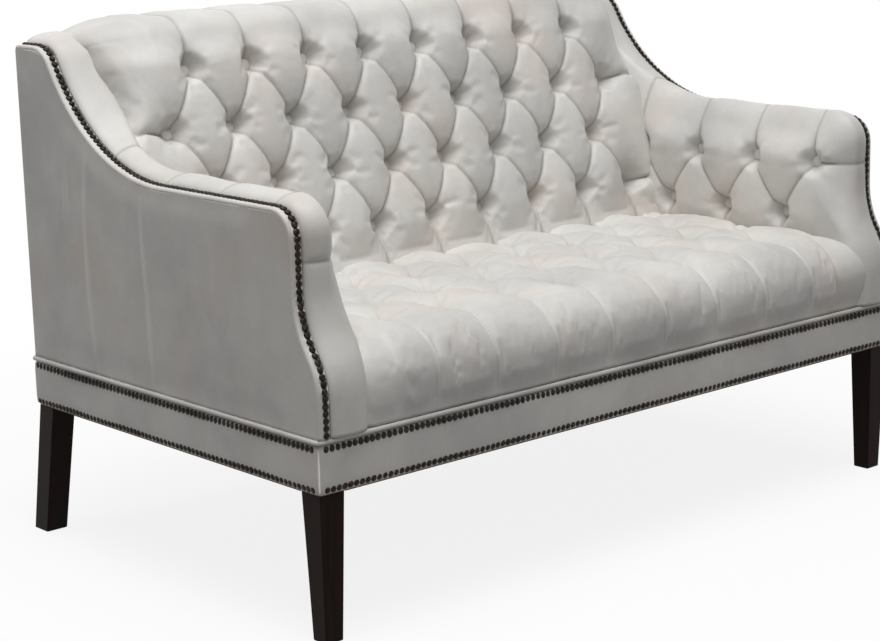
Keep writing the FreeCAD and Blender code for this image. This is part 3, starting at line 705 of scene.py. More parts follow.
class SOFA_OT_seat_pad(SofaStep, bpy.types.Operator):
    """Make the buttoned seat"""
    bl_idname = "sofa.seat_pad"
    bl_label = "Seat"

    def execute(self, context):
        pads, tufts = context.scene.sofa_pads, context.scene.sofa_buttoning
        feet = heads_of("seat_buttons", np.zeros(3))[0]
        back_at = high("seat_cover", Y)
        bend, tuck = 0.012, 0.030
        corners = [(FRONT, COVER_FLOOR + CLEARANCE, 0), (FRONT, SEAT_TOP, pads.seat_nose),
                   (back_at + bend, SEAT_TOP, bend), (back_at + tuck, SEAT_TOP - tuck, 0)]
        profile = Path(rounded(corners))
        along = np.array([profile.nearest(foot[1:])[0] for foot in feet])
        depth = SEAT_TOP - feet[0][2]
        buttoning = Buttoning(feet[:, 0], along, depth, tufts, tufts.seed, sharpness=tufts.seat_sharpness,
                              saddle=tufts.seat_saddle, stuffing=tufts.seat_stuffing,
                              groove=tufts.seat_groove, fold=tufts.seat_fold, roll=tufts.seat_roll)
        columns = pad_columns(SEAT_HALF, pads.seat_side, buttoning, tufts.cells)
        middle = (FRONT + back_at) / 2

        def crown(points):
            side = 1 - (points[..., 0] / SEAT_HALF) ** 4
            run = np.clip(1 - ((points[..., 1] - middle) / (back_at - middle)) ** 2, 0, 1)
            return pads.seat_crown * side * run

        shell = Shell()
        lengths = row_lengths(profile, buttoning, tufts.cells)
        points, gap, hollow = pad_grid(profile, lengths, columns, buttoning, crown,
                                       holds=(pads.seat_hold, 0.0))
        end = buttoning.high_column
        side = smooth((np.abs(points[..., 0]) - end) / (SEAT_HALF - end))
        front = 1 - smooth((points[..., 1] - FRONT) / pads.corner_depth)
        fullness = np.where(points[..., 0] > 0, pads.right_corner, -pads.left_corner)
        points[..., 0] += fullness * side * front
        raised = smooth((points[..., 2] - PIPING_TOP) / pads.corner_depth)
        points[..., 1] -= np.maximum(fullness, 0) * pads.corner_push * side * front * raised
        loose = smooth(lengths / pads.seat_hold)[:, None, None]
        # Lengthened pleat distances weaken the painted shade along the seat's pleats
        shell.grid(settled(points, hollow, tufts, tufts.seat_slack, loose), gap + PLEAT_REACH, hollow)
        floor = high("seat_deck_cloth", Z) + CLEARANCE
        narrowing, inset = 0.98, 0.012

        def closing(co):
            return Vector((co.x * narrowing, max(co.y, FRONT + inset), floor))

        mesh = shell.mesh("seat_pad", close=closing)
        place("seat_pad", mesh, leather(), "leather", ["seat_cover", "seat_foam"], fill=0.9)
        return {"FINISHED"}


class SOFA_OT_back_pad(SofaStep, bpy.types.Operator):
    """Make the deep-buttoned inside back with its rolled top"""
    bl_idname = "sofa.back_pad"
    bl_label = "Inside back"

    def execute(self, context):
        pads, tufts = context.scene.sofa_pads, context.scene.sofa_buttoning
        feet, axes = heads_of("back_buttons", np.array([0.0, REAR, 0.0]))
        axis = axes.mean(axis=0)
        face_foot = np.array([low("inside_back_cover", Y), low("inside_back_cover", Z)])
        up = unit(np.array([axis[2], -axis[1]]))
        hidden, behind, stiffness = 0.055, 0.095, 0.85
        start = face_foot + up * hidden
        top = face_foot + up * (BACK_TOP - face_foot[1]) / up[1]
        corners = [(start[0], start[1], 0), (top[0], top[1], pads.back_roll),
                   (REAR, BACK_TOP, pads.back_rear), (REAR, PANEL_TOP, 0)]
        profile = Path(rounded(corners))
        along = np.array([profile.nearest(foot[1:])[0] for foot in feet])
        depth = float(np.mean([profile.nearest(foot[1:])[1] for foot in feet]))
        buttoning = Buttoning(feet[:, 0], along, depth, tufts, tufts.seed + 1,
                              sharpness=tufts.back_sharpness, saddle=tufts.back_saddle,
                              stuffing=tufts.back_stuffing, groove=tufts.groove, roll=tufts.back_roll)
        columns = pad_columns(BACK_HALF, pads.back_side, buttoning, tufts.cells)

        def spread(line):
            raised = np.clip((line[:, 1] - ARM_TOP) / (BACK_TOP - ARM_TOP), 0, 1)
            sideways = pads.back_spread * raised ** 3 + pads.back_overlap * (1 - smooth(3 * raised))
            backwards = pads.back_ease * raised ** 1.5 * (REAR - line[:, 0]) / (REAR - top[0])
            downwards = pads.back_drop * smooth((line[:, 1] - PANEL_TOP) / (BACK_TOP - PANEL_TOP))
            return sideways, np.stack([backwards, -downwards], axis=1)

        shell = Shell()
        lengths = row_lengths(profile, buttoning, tufts.cells)
        points, gap, hollow = pad_grid(profile, lengths, columns, buttoning, spread=spread,
                                       holds=(0.0, pads.nail_hold))
        rolled = smooth((lengths - buttoning.high_row) / pads.back_roll)[:, None, None]
        shell.grid(settled(points, hollow, tufts, tufts.back_slack, 1 - stiffness * rolled), gap, hollow)

        def closing(co):
            out = (co.y - face_foot[0]) * axis[1] + (co.z - face_foot[1]) * axis[2]
            return co - Vector((0, axis[1], axis[2])) * (out + behind)

        mesh = shell.mesh("inside_back_pad", close=closing)
        place("inside_back_pad", mesh, leather(), "leather", ["inside_back_cover", "back_foam"], fill=0.85)
        return {"FINISHED"}


class SOFA_OT_arm_pads(SofaStep, bpy.types.Operator):
    """Make the buttoned arms, whose leather rolls over to the nails and sweeps up to the ears"""
    bl_idname = "sofa.arm_pads"
    bl_label = "Arms"

    def execute(self, context):
        tufts = context.scene.sofa_buttoning
        for name, side in SIDES:
            middle = np.array([side * HALF_WIDTH, 0.0, SEAT_TOP])
            feet = heads_of(name + "_arm_buttons", middle)[0]
            depth = abs(feet[0][0]) - ARM_FACE
            buttoning = Buttoning(feet[:, 1], feet[:, 2], depth, tufts, tufts.seed + 5 + int(side),
                                  sharpness=tufts.back_sharpness, saddle=tufts.back_saddle,
                                  stuffing=tufts.arm_stuffing, groove=tufts.arm_groove, full_sides=False)
            shell = arm_shell(context.scene.sofa_pads, nail_line(side), buttoning, tufts.cells)
            mesh = shell.mesh(name + "_arm_pad", mirror=side < 0, close=arm_closing)
            place(name + "_arm_pad", mesh, leather(), "leather",
                  [name + "_inside_arm_cover", name + "_arm_foam"], fill=0.85)
        return {"FINISHED"}


def arm_closing(co):
    """Where the arm's open edge goes, inside the outside panel's outline."""
    inset, depth = 0.006, 0.002
    return Vector((math.copysign(RIM - depth, co.x), max(co.y, FRONT + inset), min(co.z, EAR_TOP - inset)))


def roll_section(stops, fullness, count):
    """Points, directions and lengths over an arm's roll, from its inner face over the crest to the nails.

    Each stop is (x, depth, height): where the section starts, leaves the face, crests and ends.
    A fullness of 2 turns in an ellipse; less cuts the turn's corner.
    """
    turn_steps, probe = 24, 0.003
    start, leave, crest, end = (np.array(stop) for stop in stops)
    rise = crest - leave
    rise[0] = 0.0
    turn = np.linspace(0, math.pi / 2, turn_steps)
    inner = leave + np.outer(np.sin(turn) ** (2 / fullness), rise)
    inner[:, 0] = leave[0] + (crest[0] - leave[0]) * (1 - np.abs(np.cos(turn)) ** (2 / fullness))
    fall = end - crest
    fall[0] = 0.0
    outer = crest + np.outer(1 - np.cos(turn), fall)
    outer[:, 0] = crest[0] + (end[0] - crest[0]) * np.sin(turn)
    whole = np.concatenate([[start], inner, outer[1:]])
    steps = np.linalg.norm(np.diff(whole, axis=0), axis=1)
    keep = np.concatenate([[True], steps > MERGE])
    line = Path(whole[keep])
    s = np.linspace(0, line.length, count + 1)
    points = line.at(s)
    along = line.along(s, probe)
    level = unit(rise)
    forward = along @ level
    out = np.outer(along[:, 0], level)
    out[:, 0] = -forward
    return points, out, s


def stacked(sections, axis):
    """Points, directions and lengths of many sections, side by side."""
    return (np.stack([section[k] for section in sections], axis=axis) for k in range(3))


def arm_shell(pads, line, buttoning, cells):
    """The right arm's leather: inner face, roll over the top, roll round the front and the nose between."""
    crest_x, end_x = ARM_FACE + pads.crest_place, RIM + CLEARANCE
    tuck, rear_gap = 0.003, 0.003
    samples, over = 600, 36
    toe_height, toe_run = 0.40, 0.12
    ear_height, ear_run = 0.72, 0.17
    nose_floor = 0.6
    s = np.linspace(0, line.length, samples)
    edge, normal = line.at(s), line.outward(s)
    lift = mix(pads.toe_crown, pads.arm_crown, smooth((edge[:, 1] - toe_height) / toe_run))
    lift = mix(lift, pads.ear_crown, smooth((edge[:, 1] - ear_height) / ear_run))
    crest = edge + normal * lift[:, None]
    first_y, last_y = buttoning.low_column, buttoning.high_column
    low_z, high_z = buttoning.low_row, buttoning.high_row
    slant = np.abs(normal.sum(axis=1))
    nose = int(np.argmin(slant + (edge[:, 1] < nose_floor) + (edge[:, 0] > first_y)))
    top, front = slice(nose, None), slice(0, nose + 1)

    def column(y):
        end = np.interp(y, edge[top, 0], edge[top, 1])
        peak = np.interp(y, crest[top, 0], crest[top, 1])
        leave = max(high_z, end - pads.ear_roll)
        on_ear = smooth((end - ARM_TOP) / pads.ear_roll)
        over_x = ARM_FACE + mix(pads.crest_place, pads.ear_crest_place, on_ear)
        stops = ((ARM_FACE, y, high_z), (ARM_FACE, y, leave), (over_x, y, peak), (end_x, y, end - tuck))
        return roll_section(stops, pads.roll_fullness, over)

    def row(z):
        end = np.interp(z, edge[front, 1], edge[front, 0])
        peak = np.interp(z, crest[front, 1], crest[front, 0])
        raised = smooth((z - SEAT_TOP) / (high_z - SEAT_TOP))
        leave = mix(min(peak + pads.front_corner, first_y), first_y, raised)
        stops = ((ARM_FACE, first_y, z), (ARM_FACE, leave, z), (crest_x, peak, z), (end_x, end + tuck, z))
        return roll_section(stops, mix(2.0, pads.roll_fullness, raised), over)

    def ray(reach):
        end, peak = (np.array([np.interp(reach, s, part[:, k]) for k in (0, 1)]) for part in (edge, crest))
        inward = unit(end - peak)
        start = np.array([first_y, high_z])
        straight = max(0.0, end[1] - pads.ear_roll - high_z)
        leave = start + unit(peak - start) * straight
        stops = ((ARM_FACE, *start), (ARM_FACE, *leave), (crest_x, *peak), (end_x, *(end + inward * tuck)))
        return roll_section(stops, pads.roll_fullness, over)

    step = buttoning.rise / cells
    columns = np.concatenate([
        np.linspace(first_y, last_y, round((last_y - first_y) / buttoning.pitch) * 2 * cells + 1),
        np.linspace(last_y, REAR - rear_gap, 2 * cells + 1)[1:]])
    floor = COVER_FLOOR + CLEARANCE
    rows = np.concatenate([np.linspace(floor, low_z, round((low_z - floor) / step) + 1),
                           np.linspace(low_z, high_z, cells + 1)[1:]])
    shell = Shell()

    def add(points, out, u, v, left=1.0):
        height, gap = buttoning.height(u, v)
        height = height * smooth(left / pads.nail_hold)
        hollow = np.clip(-height / buttoning.depth, 0, 1)
        height = height + waviness(points, seed=4)
        points = points + out * height[..., None]
        points[..., 0] = np.minimum(points[..., 0], end_x)
        shell.grid(points, gap, hollow)

    face = np.empty((len(rows), len(columns), 3))
    face[..., 0] = ARM_FACE
    face[..., 1] = columns
    face[..., 2] = rows[:, None]
    inward = np.zeros_like(face)
    inward[..., 0] = -1.0
    add(face, inward, face[..., 1], face[..., 2])
    points, out, reach = stacked([column(y) for y in columns], axis=1)
    add(points, out, np.broadcast_to(columns, reach.shape), high_z + reach, reach[-1:] - reach)
    points, out, reach = stacked([row(z) for z in rows], axis=0)
    add(points, out, first_y - reach, np.broadcast_to(rows[:, None], reach.shape), reach[:, -1:] - reach)
    low_s = np.interp(high_z, edge[front, 1], s[front])
    high_s = np.interp(first_y, edge[top, 0], s[top])
    shares = np.linspace(0, 1, cells + 1)
    points, out, reach = stacked([ray(mix(low_s, high_s, share)) for share in shares], axis=0)
    turn = (1 - shares)[:, None] * math.pi / 2
    add(points, out, first_y - reach * np.sin(turn), high_z + reach * np.cos(turn), reach[:, -1:] - reach)
    return shell


class SOFA_OT_outside_panels(SofaStep, bpy.types.Operator):
    """Make the plain outside arms, which wrap round to the nails, and the plain outside back"""
    bl_idname = "sofa.outside_panels"
    bl_label = "Outside panels"

    def execute(self, context):
        pads = context.scene.sofa_pads
        rim, inside = RIM + CLEARANCE, REAR - 0.004
        for name, side in SIDES:
            shell = side_panel(pads, nail_line(side), high("right_outside_arm_cover", X), 21 + int(side))
            mesh = shell.mesh(name + "_outside_arm", mirror=side < 0,
                              close=lambda co: Vector((math.copysign(rim, co.x), co.y, co.z)))
            place(name + "_outside_arm", mesh, leather(), "leather", [name + "_outside_arm_cover"],
                  fill=0.9)
        mesh = rear_panel(pads).mesh("outside_back", close=lambda co: Vector((co.x, inside, co.z)))
        place("outside_back", mesh, leather(), "leather", ["outside_back_panel"], fill=0.9)
        return {"FINISHED"}


def fill_edges(front, top, rear, floor):
    """Fill four joined edges with a grid; front and rear run upwards, top and floor run backwards."""
    v = np.linspace(0, 1, len(front))[:, None, None]
    u = np.linspace(0, 1, len(top))[None, :, None]
    ruled = (1 - v) * floor[None] + v * top[None] + (1 - u) * front[:, None] + u * rear[:, None]
    corners = ((1 - u) * (1 - v) * front[0] + u * (1 - v) * rear[0]
               + (1 - u) * v * front[-1] + u * v * rear[-1])
    return ruled - corners


def side_panel(pads, line, face_x, seed):
    """The right outside arm: a padded face, rounded into the rim that holds the nails."""
    tall, wide, rim_steps = 80, 200, 7
    ear_radius, face_start = 0.010, 1.3
    nose = line.nearest(np.array([FRONT, BACK_TOP]))[0]
    ear = line.points[-1]
    corners = [(*line.points[-2], 0), (REAR, ear[1], ear_radius), (REAR, COVER_FLOOR, 0)]
    outline = Path(np.concatenate([line.points[:-2], rounded(corners)]))
    rear_top = outline.nearest(np.array([REAR, ear[1]]))[0]
    stops = (np.linspace(0, nose, tall + 1), np.linspace(nose, rear_top, wide + 1),
             np.linspace(rear_top, outline.length, tall + 1))
    along = np.concatenate([stops[0], stops[1][1:], stops[2][1:]])
    edge, out = outline.at(along), outline.outward(along)
    radius = pads.rim_radius
    sections = [(RIM, 0.0)]
    for turn in np.linspace(0, math.pi / 2, rim_steps):
        sections.append((face_x - radius * (1 - math.sin(turn)), radius * (1 - math.cos(turn))))
    sections.append((face_x, radius * face_start))
    rim = np.empty((len(sections), len(along), 3))
    for row, (x, inset) in zip(rim, sections):
        row[:, 0] = x
        row[:, 1:] = edge - out * inset
        row[:, 2] = np.maximum(row[:, 2], COVER_FLOOR)
    ring = rim[-1][:, 1:]
    front, top, rear = ring[:tall + 1], ring[tall:tall + wide + 1], ring[tall + wide:][::-1]
    share = np.linspace(0, 1, wide + 1)[:, None]
    inner = fill_edges(front, top, rear, mix(front[0], rear[0], share))
    points = np.concatenate([np.full(inner.shape[:2] + (1,), face_x), inner], axis=-1)
    relief, ridges = panel_relief(pads, points, seed, pads.panel_folds)
    points[..., 0] += relief
    shell = Shell()
    shell.grid(rim)
    shell.grid(points, hollows=-ridges)
    return shell


def panel_relief(pads, points, seed, folds=()):
    """Swell, soft ripples, long folds at given depths and a few short folds of a panel with held edges."""
    drawn_out, ripple_size = np.array([1, 1, 0.45]), 0.22
    sway_width, ridge_width = 0.006, 0.0055
    fold_count, fold_width, fold_height = 5, 0.010, 0.22
    rows, columns = points.shape[:2]
    v = np.linspace(0, 1, rows)[:, None]
    u = np.linspace(0, 1, columns)[None, :]
    held = smooth(6 * np.minimum(np.minimum(u, 1 - u), np.minimum(v, 1 - v) + 0.02))
    relief = held * pads.panel_swell * (1 - (2 * u - 1) ** 4) * (1 - (2 * v - 1) ** 4)
    relief = relief + held * pads.panel_ripple * ripple(points * drawn_out, ripple_size, seed)
    chance = np.random.RandomState(seed)
    ridges = np.zeros_like(relief)
    for depth in folds:
        sway = sway_width * np.sin(5 * v + chance.uniform(0, 6))
        ridge = np.exp(-((points[..., 1] - depth - sway) / ridge_width) ** 2)
        ridges = ridges + held * ridge * smooth(3.2 * (1 - v))
    relief = relief + pads.panel_fold * ridges
    for _ in range(fold_count):
        middle, tall = chance.uniform(0.15, 0.85), chance.uniform(0.35, 0.75)
        lean = chance.uniform(-0.05, 0.05)
        off = (u - middle - lean * (v - tall)) / fold_width
        fold = np.exp(-off ** 2) * np.exp(-((v - tall) / fold_height) ** 2)
        relief = relief + held * fold * chance.choice([-0.8, 1.0]) * pads.panel_ripple
    return relief, ridges


def rear_panel(pads):
    """The plain outside back."""
    tall, wide = 60, 140
    points = np.empty((tall + 1, wide + 1, 3))
    points[..., 0] = np.linspace(-RIM, RIM, wide + 1)
    points[..., 1] = REAR
    points[..., 2] = np.linspace(COVER_FLOOR, PANEL_TOP, tall + 1)[:, None]
    points[..., 1] += panel_relief(pads, points, seed=31)[0]
    shell = Shell()
    shell.grid(points)
    return shell


def base_loop(reach, corner):
    """Plan points and outward directions round the base, from the middle of the front to the left."""
    low_y, high_y, wide = FRONT - reach, BASE_REAR + reach, HALF_WIDTH + reach
    points, ways = [], []
    for x_sign, y_sign, start in ((-1, -1, 270), (-1, 1, 180), (1, 1, 90), (1, -1, 0)):
        centre = np.array([x_sign * (wide - corner), (low_y if y_sign < 0 else high_y) - y_sign * corner])
        for angle in np.linspace(start, start - 90, CORNER_STEPS + 1):
            way = np.array([math.cos(math.radians(angle)), math.sin(math.radians(angle))])
            points.append(centre + way * corner)
            ways.append(way)
    return np.array(points), np.array(ways)


class SOFA_OT_base_band(SofaStep, bpy.types.Operator):
    """Make the leather band round the base and the piping above it"""
    bl_idname = "sofa.base_band"
    bl_label = "Base band and piping"

    def execute(self, context):
        pads = context.scene.sofa_pads
        plan, ways = base_loop(0.0, pads.band_corner)
        half, corner = CORNER_STEPS // 2, CORNER_STEPS + 1
        long_way = np.linspace(0, 1, SIDE_STEPS)[1:-1, None]
        for number, node in enumerate(("left_side_band", "back_band", "right_side_band", "front_band")):
            picked = [(half + number * corner + k) % len(plan) for k in range(corner + 1)]
            first, last = picked[:half + 1], picked[half + 1:]
            run = mix(plan[first[-1]], plan[last[0]], long_way)
            line = np.concatenate([plan[first], run, plan[last]])
            out = np.concatenate([ways[first], np.repeat(ways[last[:1]], len(run), axis=0), ways[last]])
            mesh = band_mesh(pads, node + "_leather", line, out, seam=node == "front_band")
            place(node + "_leather", mesh, leather(), "leather", [node], fill=0.95)
        piping_radius = (PIPING_TOP - BAND_TOP) / 2
        plan = base_loop(high("base_piping", X) - HALF_WIDTH - piping_radius, pads.band_corner)[0]
        loop = bpy.data.meshes.new("piping_line")
        rows = [(x, y, BAND_TOP + piping_radius) for x, y in plan]
        loop.from_pydata(rows, [(i, (i + 1) % len(rows)) for i in range(len(rows))], [])
        mesh = grown(loop, piping_tree(), {"Radius": piping_radius, "Leather": leather()}, "piping")
        place("piping", mesh, leather(), "leather", ["base_piping"], fill=0.95)
        return {"FINISHED"}


def band_mesh(pads, name, line, out, seam):
    """One closed run of the base band, swelling between its two rows of nails."""
    tall = BAND_TOP - LEG_TOP
    edge, depth, cells = 0.004, 0.010, 18
    ripple_size, ripple_share = 0.13, 0.35
    seam_depth, seam_width = 0.0012, 0.0022
    heights = np.linspace(0, 1, cells + 1)
    offsets = pads.band_swell * (1 - (2 * heights - 1) ** 4)
    rounding = np.minimum(np.minimum(heights, 1 - heights) * tall / edge, 1)
    offsets = offsets - edge * (1 - np.sqrt(1 - (1 - rounding) ** 2))
    heights = np.concatenate([[0.0], heights, [1.0, 0.0]])
    offsets = np.concatenate([[-depth], offsets, [-depth, -depth]])
    points = np.empty((len(heights), len(line), 3))
    for row, height, offset in zip(points, heights, offsets):
        row[:, :2] = line + out * offset
        row[:, 2] = LEG_TOP + height * tall
    shift = ripple(points, ripple_size, seed=12) * pads.band_swell * ripple_share * (offsets > 0)[:, None]
    if seam:
        shift = shift - seam_depth * np.exp(-((points[..., 0] - pads.band_seam) / seam_width) ** 2)
    points[..., :2] += out[None] * shift[..., None]
    shell = Shell()
    shell.grid(points)
    return shell.mesh(name, close=lambda co: co)


# Nodes

def once(kind, name):
    """Make a named block of data at the first call; later calls return the same one."""
    def keep(make):
        def find():
            known = getattr(bpy.data, kind).get(name)
            return known if known is not None else make(name)
        return find
    return keep


def connect(tree, value, socket):
    """Link an output to a socket, or give the socket a value of its own."""
    if isinstance(value, bpy.types.NodeSocket):
        tree.links.new(value, socket)
    else:
        socket.default_value = value


def feed(tree, node, *values, **named):
    """Connect values or outputs to a node's sockets, in order and by name."""
    for socket, value in zip(node.inputs, values):
        connect(tree, value, socket)
    for key, value in named.items():
        connect(tree, value, node.inputs[key.replace("_", " ")])


def add_node(tree, kind, settings=None, *values, **named):
    """Add a node with its settings and connected sockets."""
    made = tree.nodes.new(kind)
    for key, value in (settings or {}).items():
        setattr(made, key, value)
    feed(tree, made, *values, **named)
    return made


def enabled(sockets):
    return [socket for socket in sockets if socket.enabled]


# Repeated pieces, grown by geometry nodes

def new_tree(name, inputs):
    """A geometry node group with an input mesh, the named inputs and one output."""
    tree = bpy.data.node_groups.new(name, "GeometryNodeTree")
    tree.interface.new_socket("Geometry", in_out="INPUT", socket_type="NodeSocketGeometry")
    for label, kind in inputs:
        tree.interface.new_socket(label, in_out="INPUT", socket_type=kind)
    tree.interface.new_socket("Geometry", in_out="OUTPUT", socket_type="NodeSocketGeometry")
    return tree, tree.nodes.new("NodeGroupInput").outputs, tree.nodes.new("NodeGroupOutput")


def finish_tree(tree, geometry, material, result):
    """Make the geometry real, give it its material and hand it out."""
    real = add_node(tree, "GeometryNodeRealizeInstances", None, Geometry=geometry)
    dressed = add_node(tree, "GeometryNodeSetMaterial", None, Geometry=real.outputs[0], Material=material)
    feed(tree, result, dressed.outputs[0])
    return tree


@once("node_groups", "piping_along_edges")
def piping_tree(name):
    """Round cord along the input's edges."""
    inputs = (("Radius", "NodeSocketFloat"), ("Leather", "NodeSocketMaterial"))
    tree, given, result = new_tree(name, inputs)
    line = add_node(tree, "GeometryNodeMeshToCurve", None, Mesh=given["Geometry"])
    ring = add_node(tree, "GeometryNodeCurvePrimitiveCircle", None, Resolution=10, Radius=given["Radius"])
    cord = add_node(tree, "GeometryNodeCurveToMesh", None, Curve=line.outputs[0],
                    Profile_Curve=ring.outputs[0])
    soft = add_node(tree, "GeometryNodeSetShadeSmooth", None, Geometry=cord.outputs[0])
    return finish_tree(tree, soft.outputs[0], given["Leather"], result)


@once("node_groups", "heads_on_points")
def heads_tree(name):
    """A head on each input point, turned to the point's axis, with a little chance in tilt and size."""
    inputs = (("Head", "NodeSocketObject"), ("Tilt", "NodeSocketFloat"), ("Spread", "NodeSocketFloat"),
              ("Seed", "NodeSocketInt"), ("Material", "NodeSocketMaterial"))
    tree, given, result = new_tree(name, inputs)
    head = add_node(tree, "GeometryNodeObjectInfo", None, Object=given["Head"])
    axis = add_node(tree, "GeometryNodeInputNamedAttribute", {"data_type": "FLOAT_VECTOR"}, Name="axis")
    chance = add_node(tree, "FunctionNodeRandomValue", {"data_type": "FLOAT_VECTOR"}, Min=(-1, -1, -1),
                      Seed=given["Seed"])
    scaled = add_node(tree, "ShaderNodeVectorMath", {"operation": "SCALE"}, chance.outputs[0],
                      Scale=given["Tilt"])
    leaning = add_node(tree, "ShaderNodeVectorMath", {"operation": "ADD"}, axis.outputs[0],
                       scaled.outputs[0])
    turn = add_node(tree, "FunctionNodeAlignRotationToVector", {"axis": "Z"}, Vector=leaning.outputs[0])
    pick = add_node(tree, "FunctionNodeRandomValue", {"data_type": "FLOAT"}, Seed=given["Seed"])
    smallest = add_node(tree, "ShaderNodeMath", {"operation": "SUBTRACT"}, 1.0, given["Spread"])
    largest = add_node(tree, "ShaderNodeMath", {"operation": "ADD"}, 1.0, given["Spread"])
    sizes = add_node(tree, "ShaderNodeMapRange", None, Value=enabled(pick.outputs)[0],
                     To_Min=smallest.outputs[0], To_Max=largest.outputs[0])
    placed = add_node(tree, "GeometryNodeInstanceOnPoints", None, Points=given["Geometry"],
                      Instance=head.outputs["Geometry"], Rotation=turn.outputs[0], Scale=sizes.outputs[0])
    return finish_tree(tree, placed.outputs[0], given["Material"], result)


def grown(mesh, tree, values, name):
    """Run a geometry node group on a mesh and return the plain mesh it makes."""
    holder = bpy.data.objects.new(name + "_source", mesh)
    bpy.context.scene.collection.objects.link(holder)
    modifier = holder.modifiers.new(tree.name, "NODES")
    modifier.node_group = tree
    for item in tree.interface.items_tree:
        if item.in_out == "INPUT" and item.name in values:
            modifier[item.identifier] = values[item.name]
    graph = bpy.context.evaluated_depsgraph_get()
    made = bpy.data.meshes.new_from_object(holder.evaluated_get(graph))
    made.name = name
    bpy.data.objects.remove(holder)
    return made


def turned_head(name, rings, radius, rise, segments):
    """A round head turned from rings that end on its axis, given as shares of its radius and rise."""
    mesh = bpy.data.meshes.new(name)
    points, faces = [], []
    for wide, tall in rings[:-1]:
        for k in range(segments):
            angle = 2 * math.pi * k / segments
            points.append((wide * radius * math.cos(angle), wide * radius * math.sin(angle), tall * rise))
    points.append((0, 0, rings[-1][1] * rise))
    last = (len(rings) - 2) * segments
    for near in range(0, last, segments):
        far = near + segments
        for k in range(segments):
            on = (k + 1) % segments
            faces.append((near + k, near + on, far + on, far + k))
    faces += [(last + k, last + (k + 1) % segments, len(points) - 1) for k in range(segments)]
    faces.append(tuple(range(segments))[::-1])
    mesh.from_pydata(points, [], faces)
    for face in mesh.polygons[:-1]:
        face.use_smooth = True
    head = bpy.data.objects.new(name, mesh)
    bpy.context.scene.collection.objects.link(head)
    return head


def grow_heads(name, node, middle, values, slot):
    """Put a head at each of a CAD node's small solids, as one piece; values go to the node group."""
    feet, axes = heads_of(node, np.array(middle))
    mesh = bpy.data.meshes.new(name + "_places")
    mesh.from_pydata(feet.tolist(), [], [])
    attribute = mesh.attributes.new("axis", "FLOAT_VECTOR", "POINT")
    attribute.data.foreach_set("vector", axes.astype(np.float32).ravel())
    place(name, grown(mesh, heads_tree(), values, name), values["Material"], slot, [node])


class SOFA_OT_nails(SofaStep, bpy.types.Operator):
    """Set the close rows of domed nail heads"""
    bl_idname = "sofa.nails"
    bl_label = "Nail heads"

    def execute(self, context):
        rings = ((1, 0), (0.95, 0.36), (0.76, 0.70), (0.42, 0.93), (0, 1))
        head = turned_head("nail_head", rings, radius=0.0059, rise=0.0038, segments=10)
        rows = [(name + "_arm", (side * HALF_WIDTH, REAR, SEAT_TOP), 3) for name, side in SIDES]
        centre = (FRONT + BASE_REAR) / 2
        rows += [(name, (0.0, centre, low(name + "_nails", Z)), 5) for name in ("upper_band", "lower_band")]
        for name, middle, seed in rows:
            values = {"Head": head, "Tilt": 0.10, "Spread": 0.04, "Seed": seed, "Material": bronze()}
            grow_heads(name + "_nail_heads", name + "_nails", middle, values, "nail_bronze")
        bpy.data.objects.remove(head)
        return {"FINISHED"}


class SOFA_OT_buttons(SofaStep, bpy.types.Operator):
    """Set the leather-covered buttons in their hollows"""
    bl_idname = "sofa.buttons"
    bl_label = "Buttons"

    def execute(self, context):
        rings = ((0.7, -0.3), (0.97, 0.05), (1.0, 0.35), (0.93, 0.65), (0.72, 0.87), (0.4, 0.97), (0, 1))
        head = turned_head("covered_button", rings, radius=0.0115, rise=0.0065, segments=20)
        values = {"Head": head, "Tilt": 0.10, "Spread": 0.03, "Seed": 9, "Material": leather()}
        fields = {"seat": (0.0, 0.0, 0.0), "back": (0.0, REAR, 0.0)}
        fields.update({name + "_arm": (side * HALF_WIDTH, 0.0, SEAT_TOP) for name, side in SIDES})
        for name, middle in fields.items():
            grow_heads(name + "_covered_buttons", name + "_buttons", middle, values, "leather")
        bpy.data.objects.remove(head)
        return {"FINISHED"}


class SOFA_OT_legs(SofaStep, bpy.types.Operator):
    """Ease the edges of the legs and stain them"""
    bl_idname = "sofa.legs"
    bl_label = "Legs"

    def execute(self, context):
        ease = context.scene.sofa_trim.leg_edge
        flat, sharp, shortest = math.radians(2), math.radians(40), 0.03
        for name in ("left_front_leg", "right_front_leg", "left_back_leg", "right_back_leg"):
            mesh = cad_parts[name].data.copy()
            mesh.name = name + "_wood"
            work = bmesh.new()
            work.from_mesh(mesh)
            bmesh.ops.remove_doubles(work, verts=work.verts, dist=MERGE)
            bmesh.ops.dissolve_limit(work, angle_limit=flat, verts=work.verts, edges=work.edges)
            edges = [e for e in work.edges if e.calc_face_angle(0) > sharp and e.calc_length() > shortest]
            made = bmesh.ops.bevel(work, geom=edges, offset=ease, segments=3, profile=0.5, affect="EDGES")
            bmesh.ops.triangulate(work, faces=[f for f in work.faces if len(f.verts) > 4])
            rounded_faces = set(made["faces"])
            for face in work.faces:
                face.smooth = face in rounded_faces
            bmesh.ops.recalc_face_normals(work, faces=work.faces)
            work.to_mesh(mesh)
            work.free()
            place(name + "_wood", mesh, stained_wood(), "dark_wood", [name])
        return {"FINISHED"}


class SOFA_OT_inner_frame(SofaStep, bpy.types.Operator):
    """Give the frame, springs, webbing and cloth that stay as built their own surfaces"""
    bl_idname = "sofa.inner_frame"
    bl_label = "Inner frame"

    def execute(self, context):
        surfaces = {"frame_wood": pale_wood(), "spring_steel": steel(), "webbing": jute(),
                    "black_cloth": dust_cloth(), "dark_wood": stained_wood(), "leather": leather(),
                    "foam": open_foam(), "nail_bronze": bronze()}
        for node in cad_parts.values():
            for slot in node.material_slots:
                slot.material = surfaces[slot.material.name.split(".")[0]]
        return {"FINISHED"}


# Materials

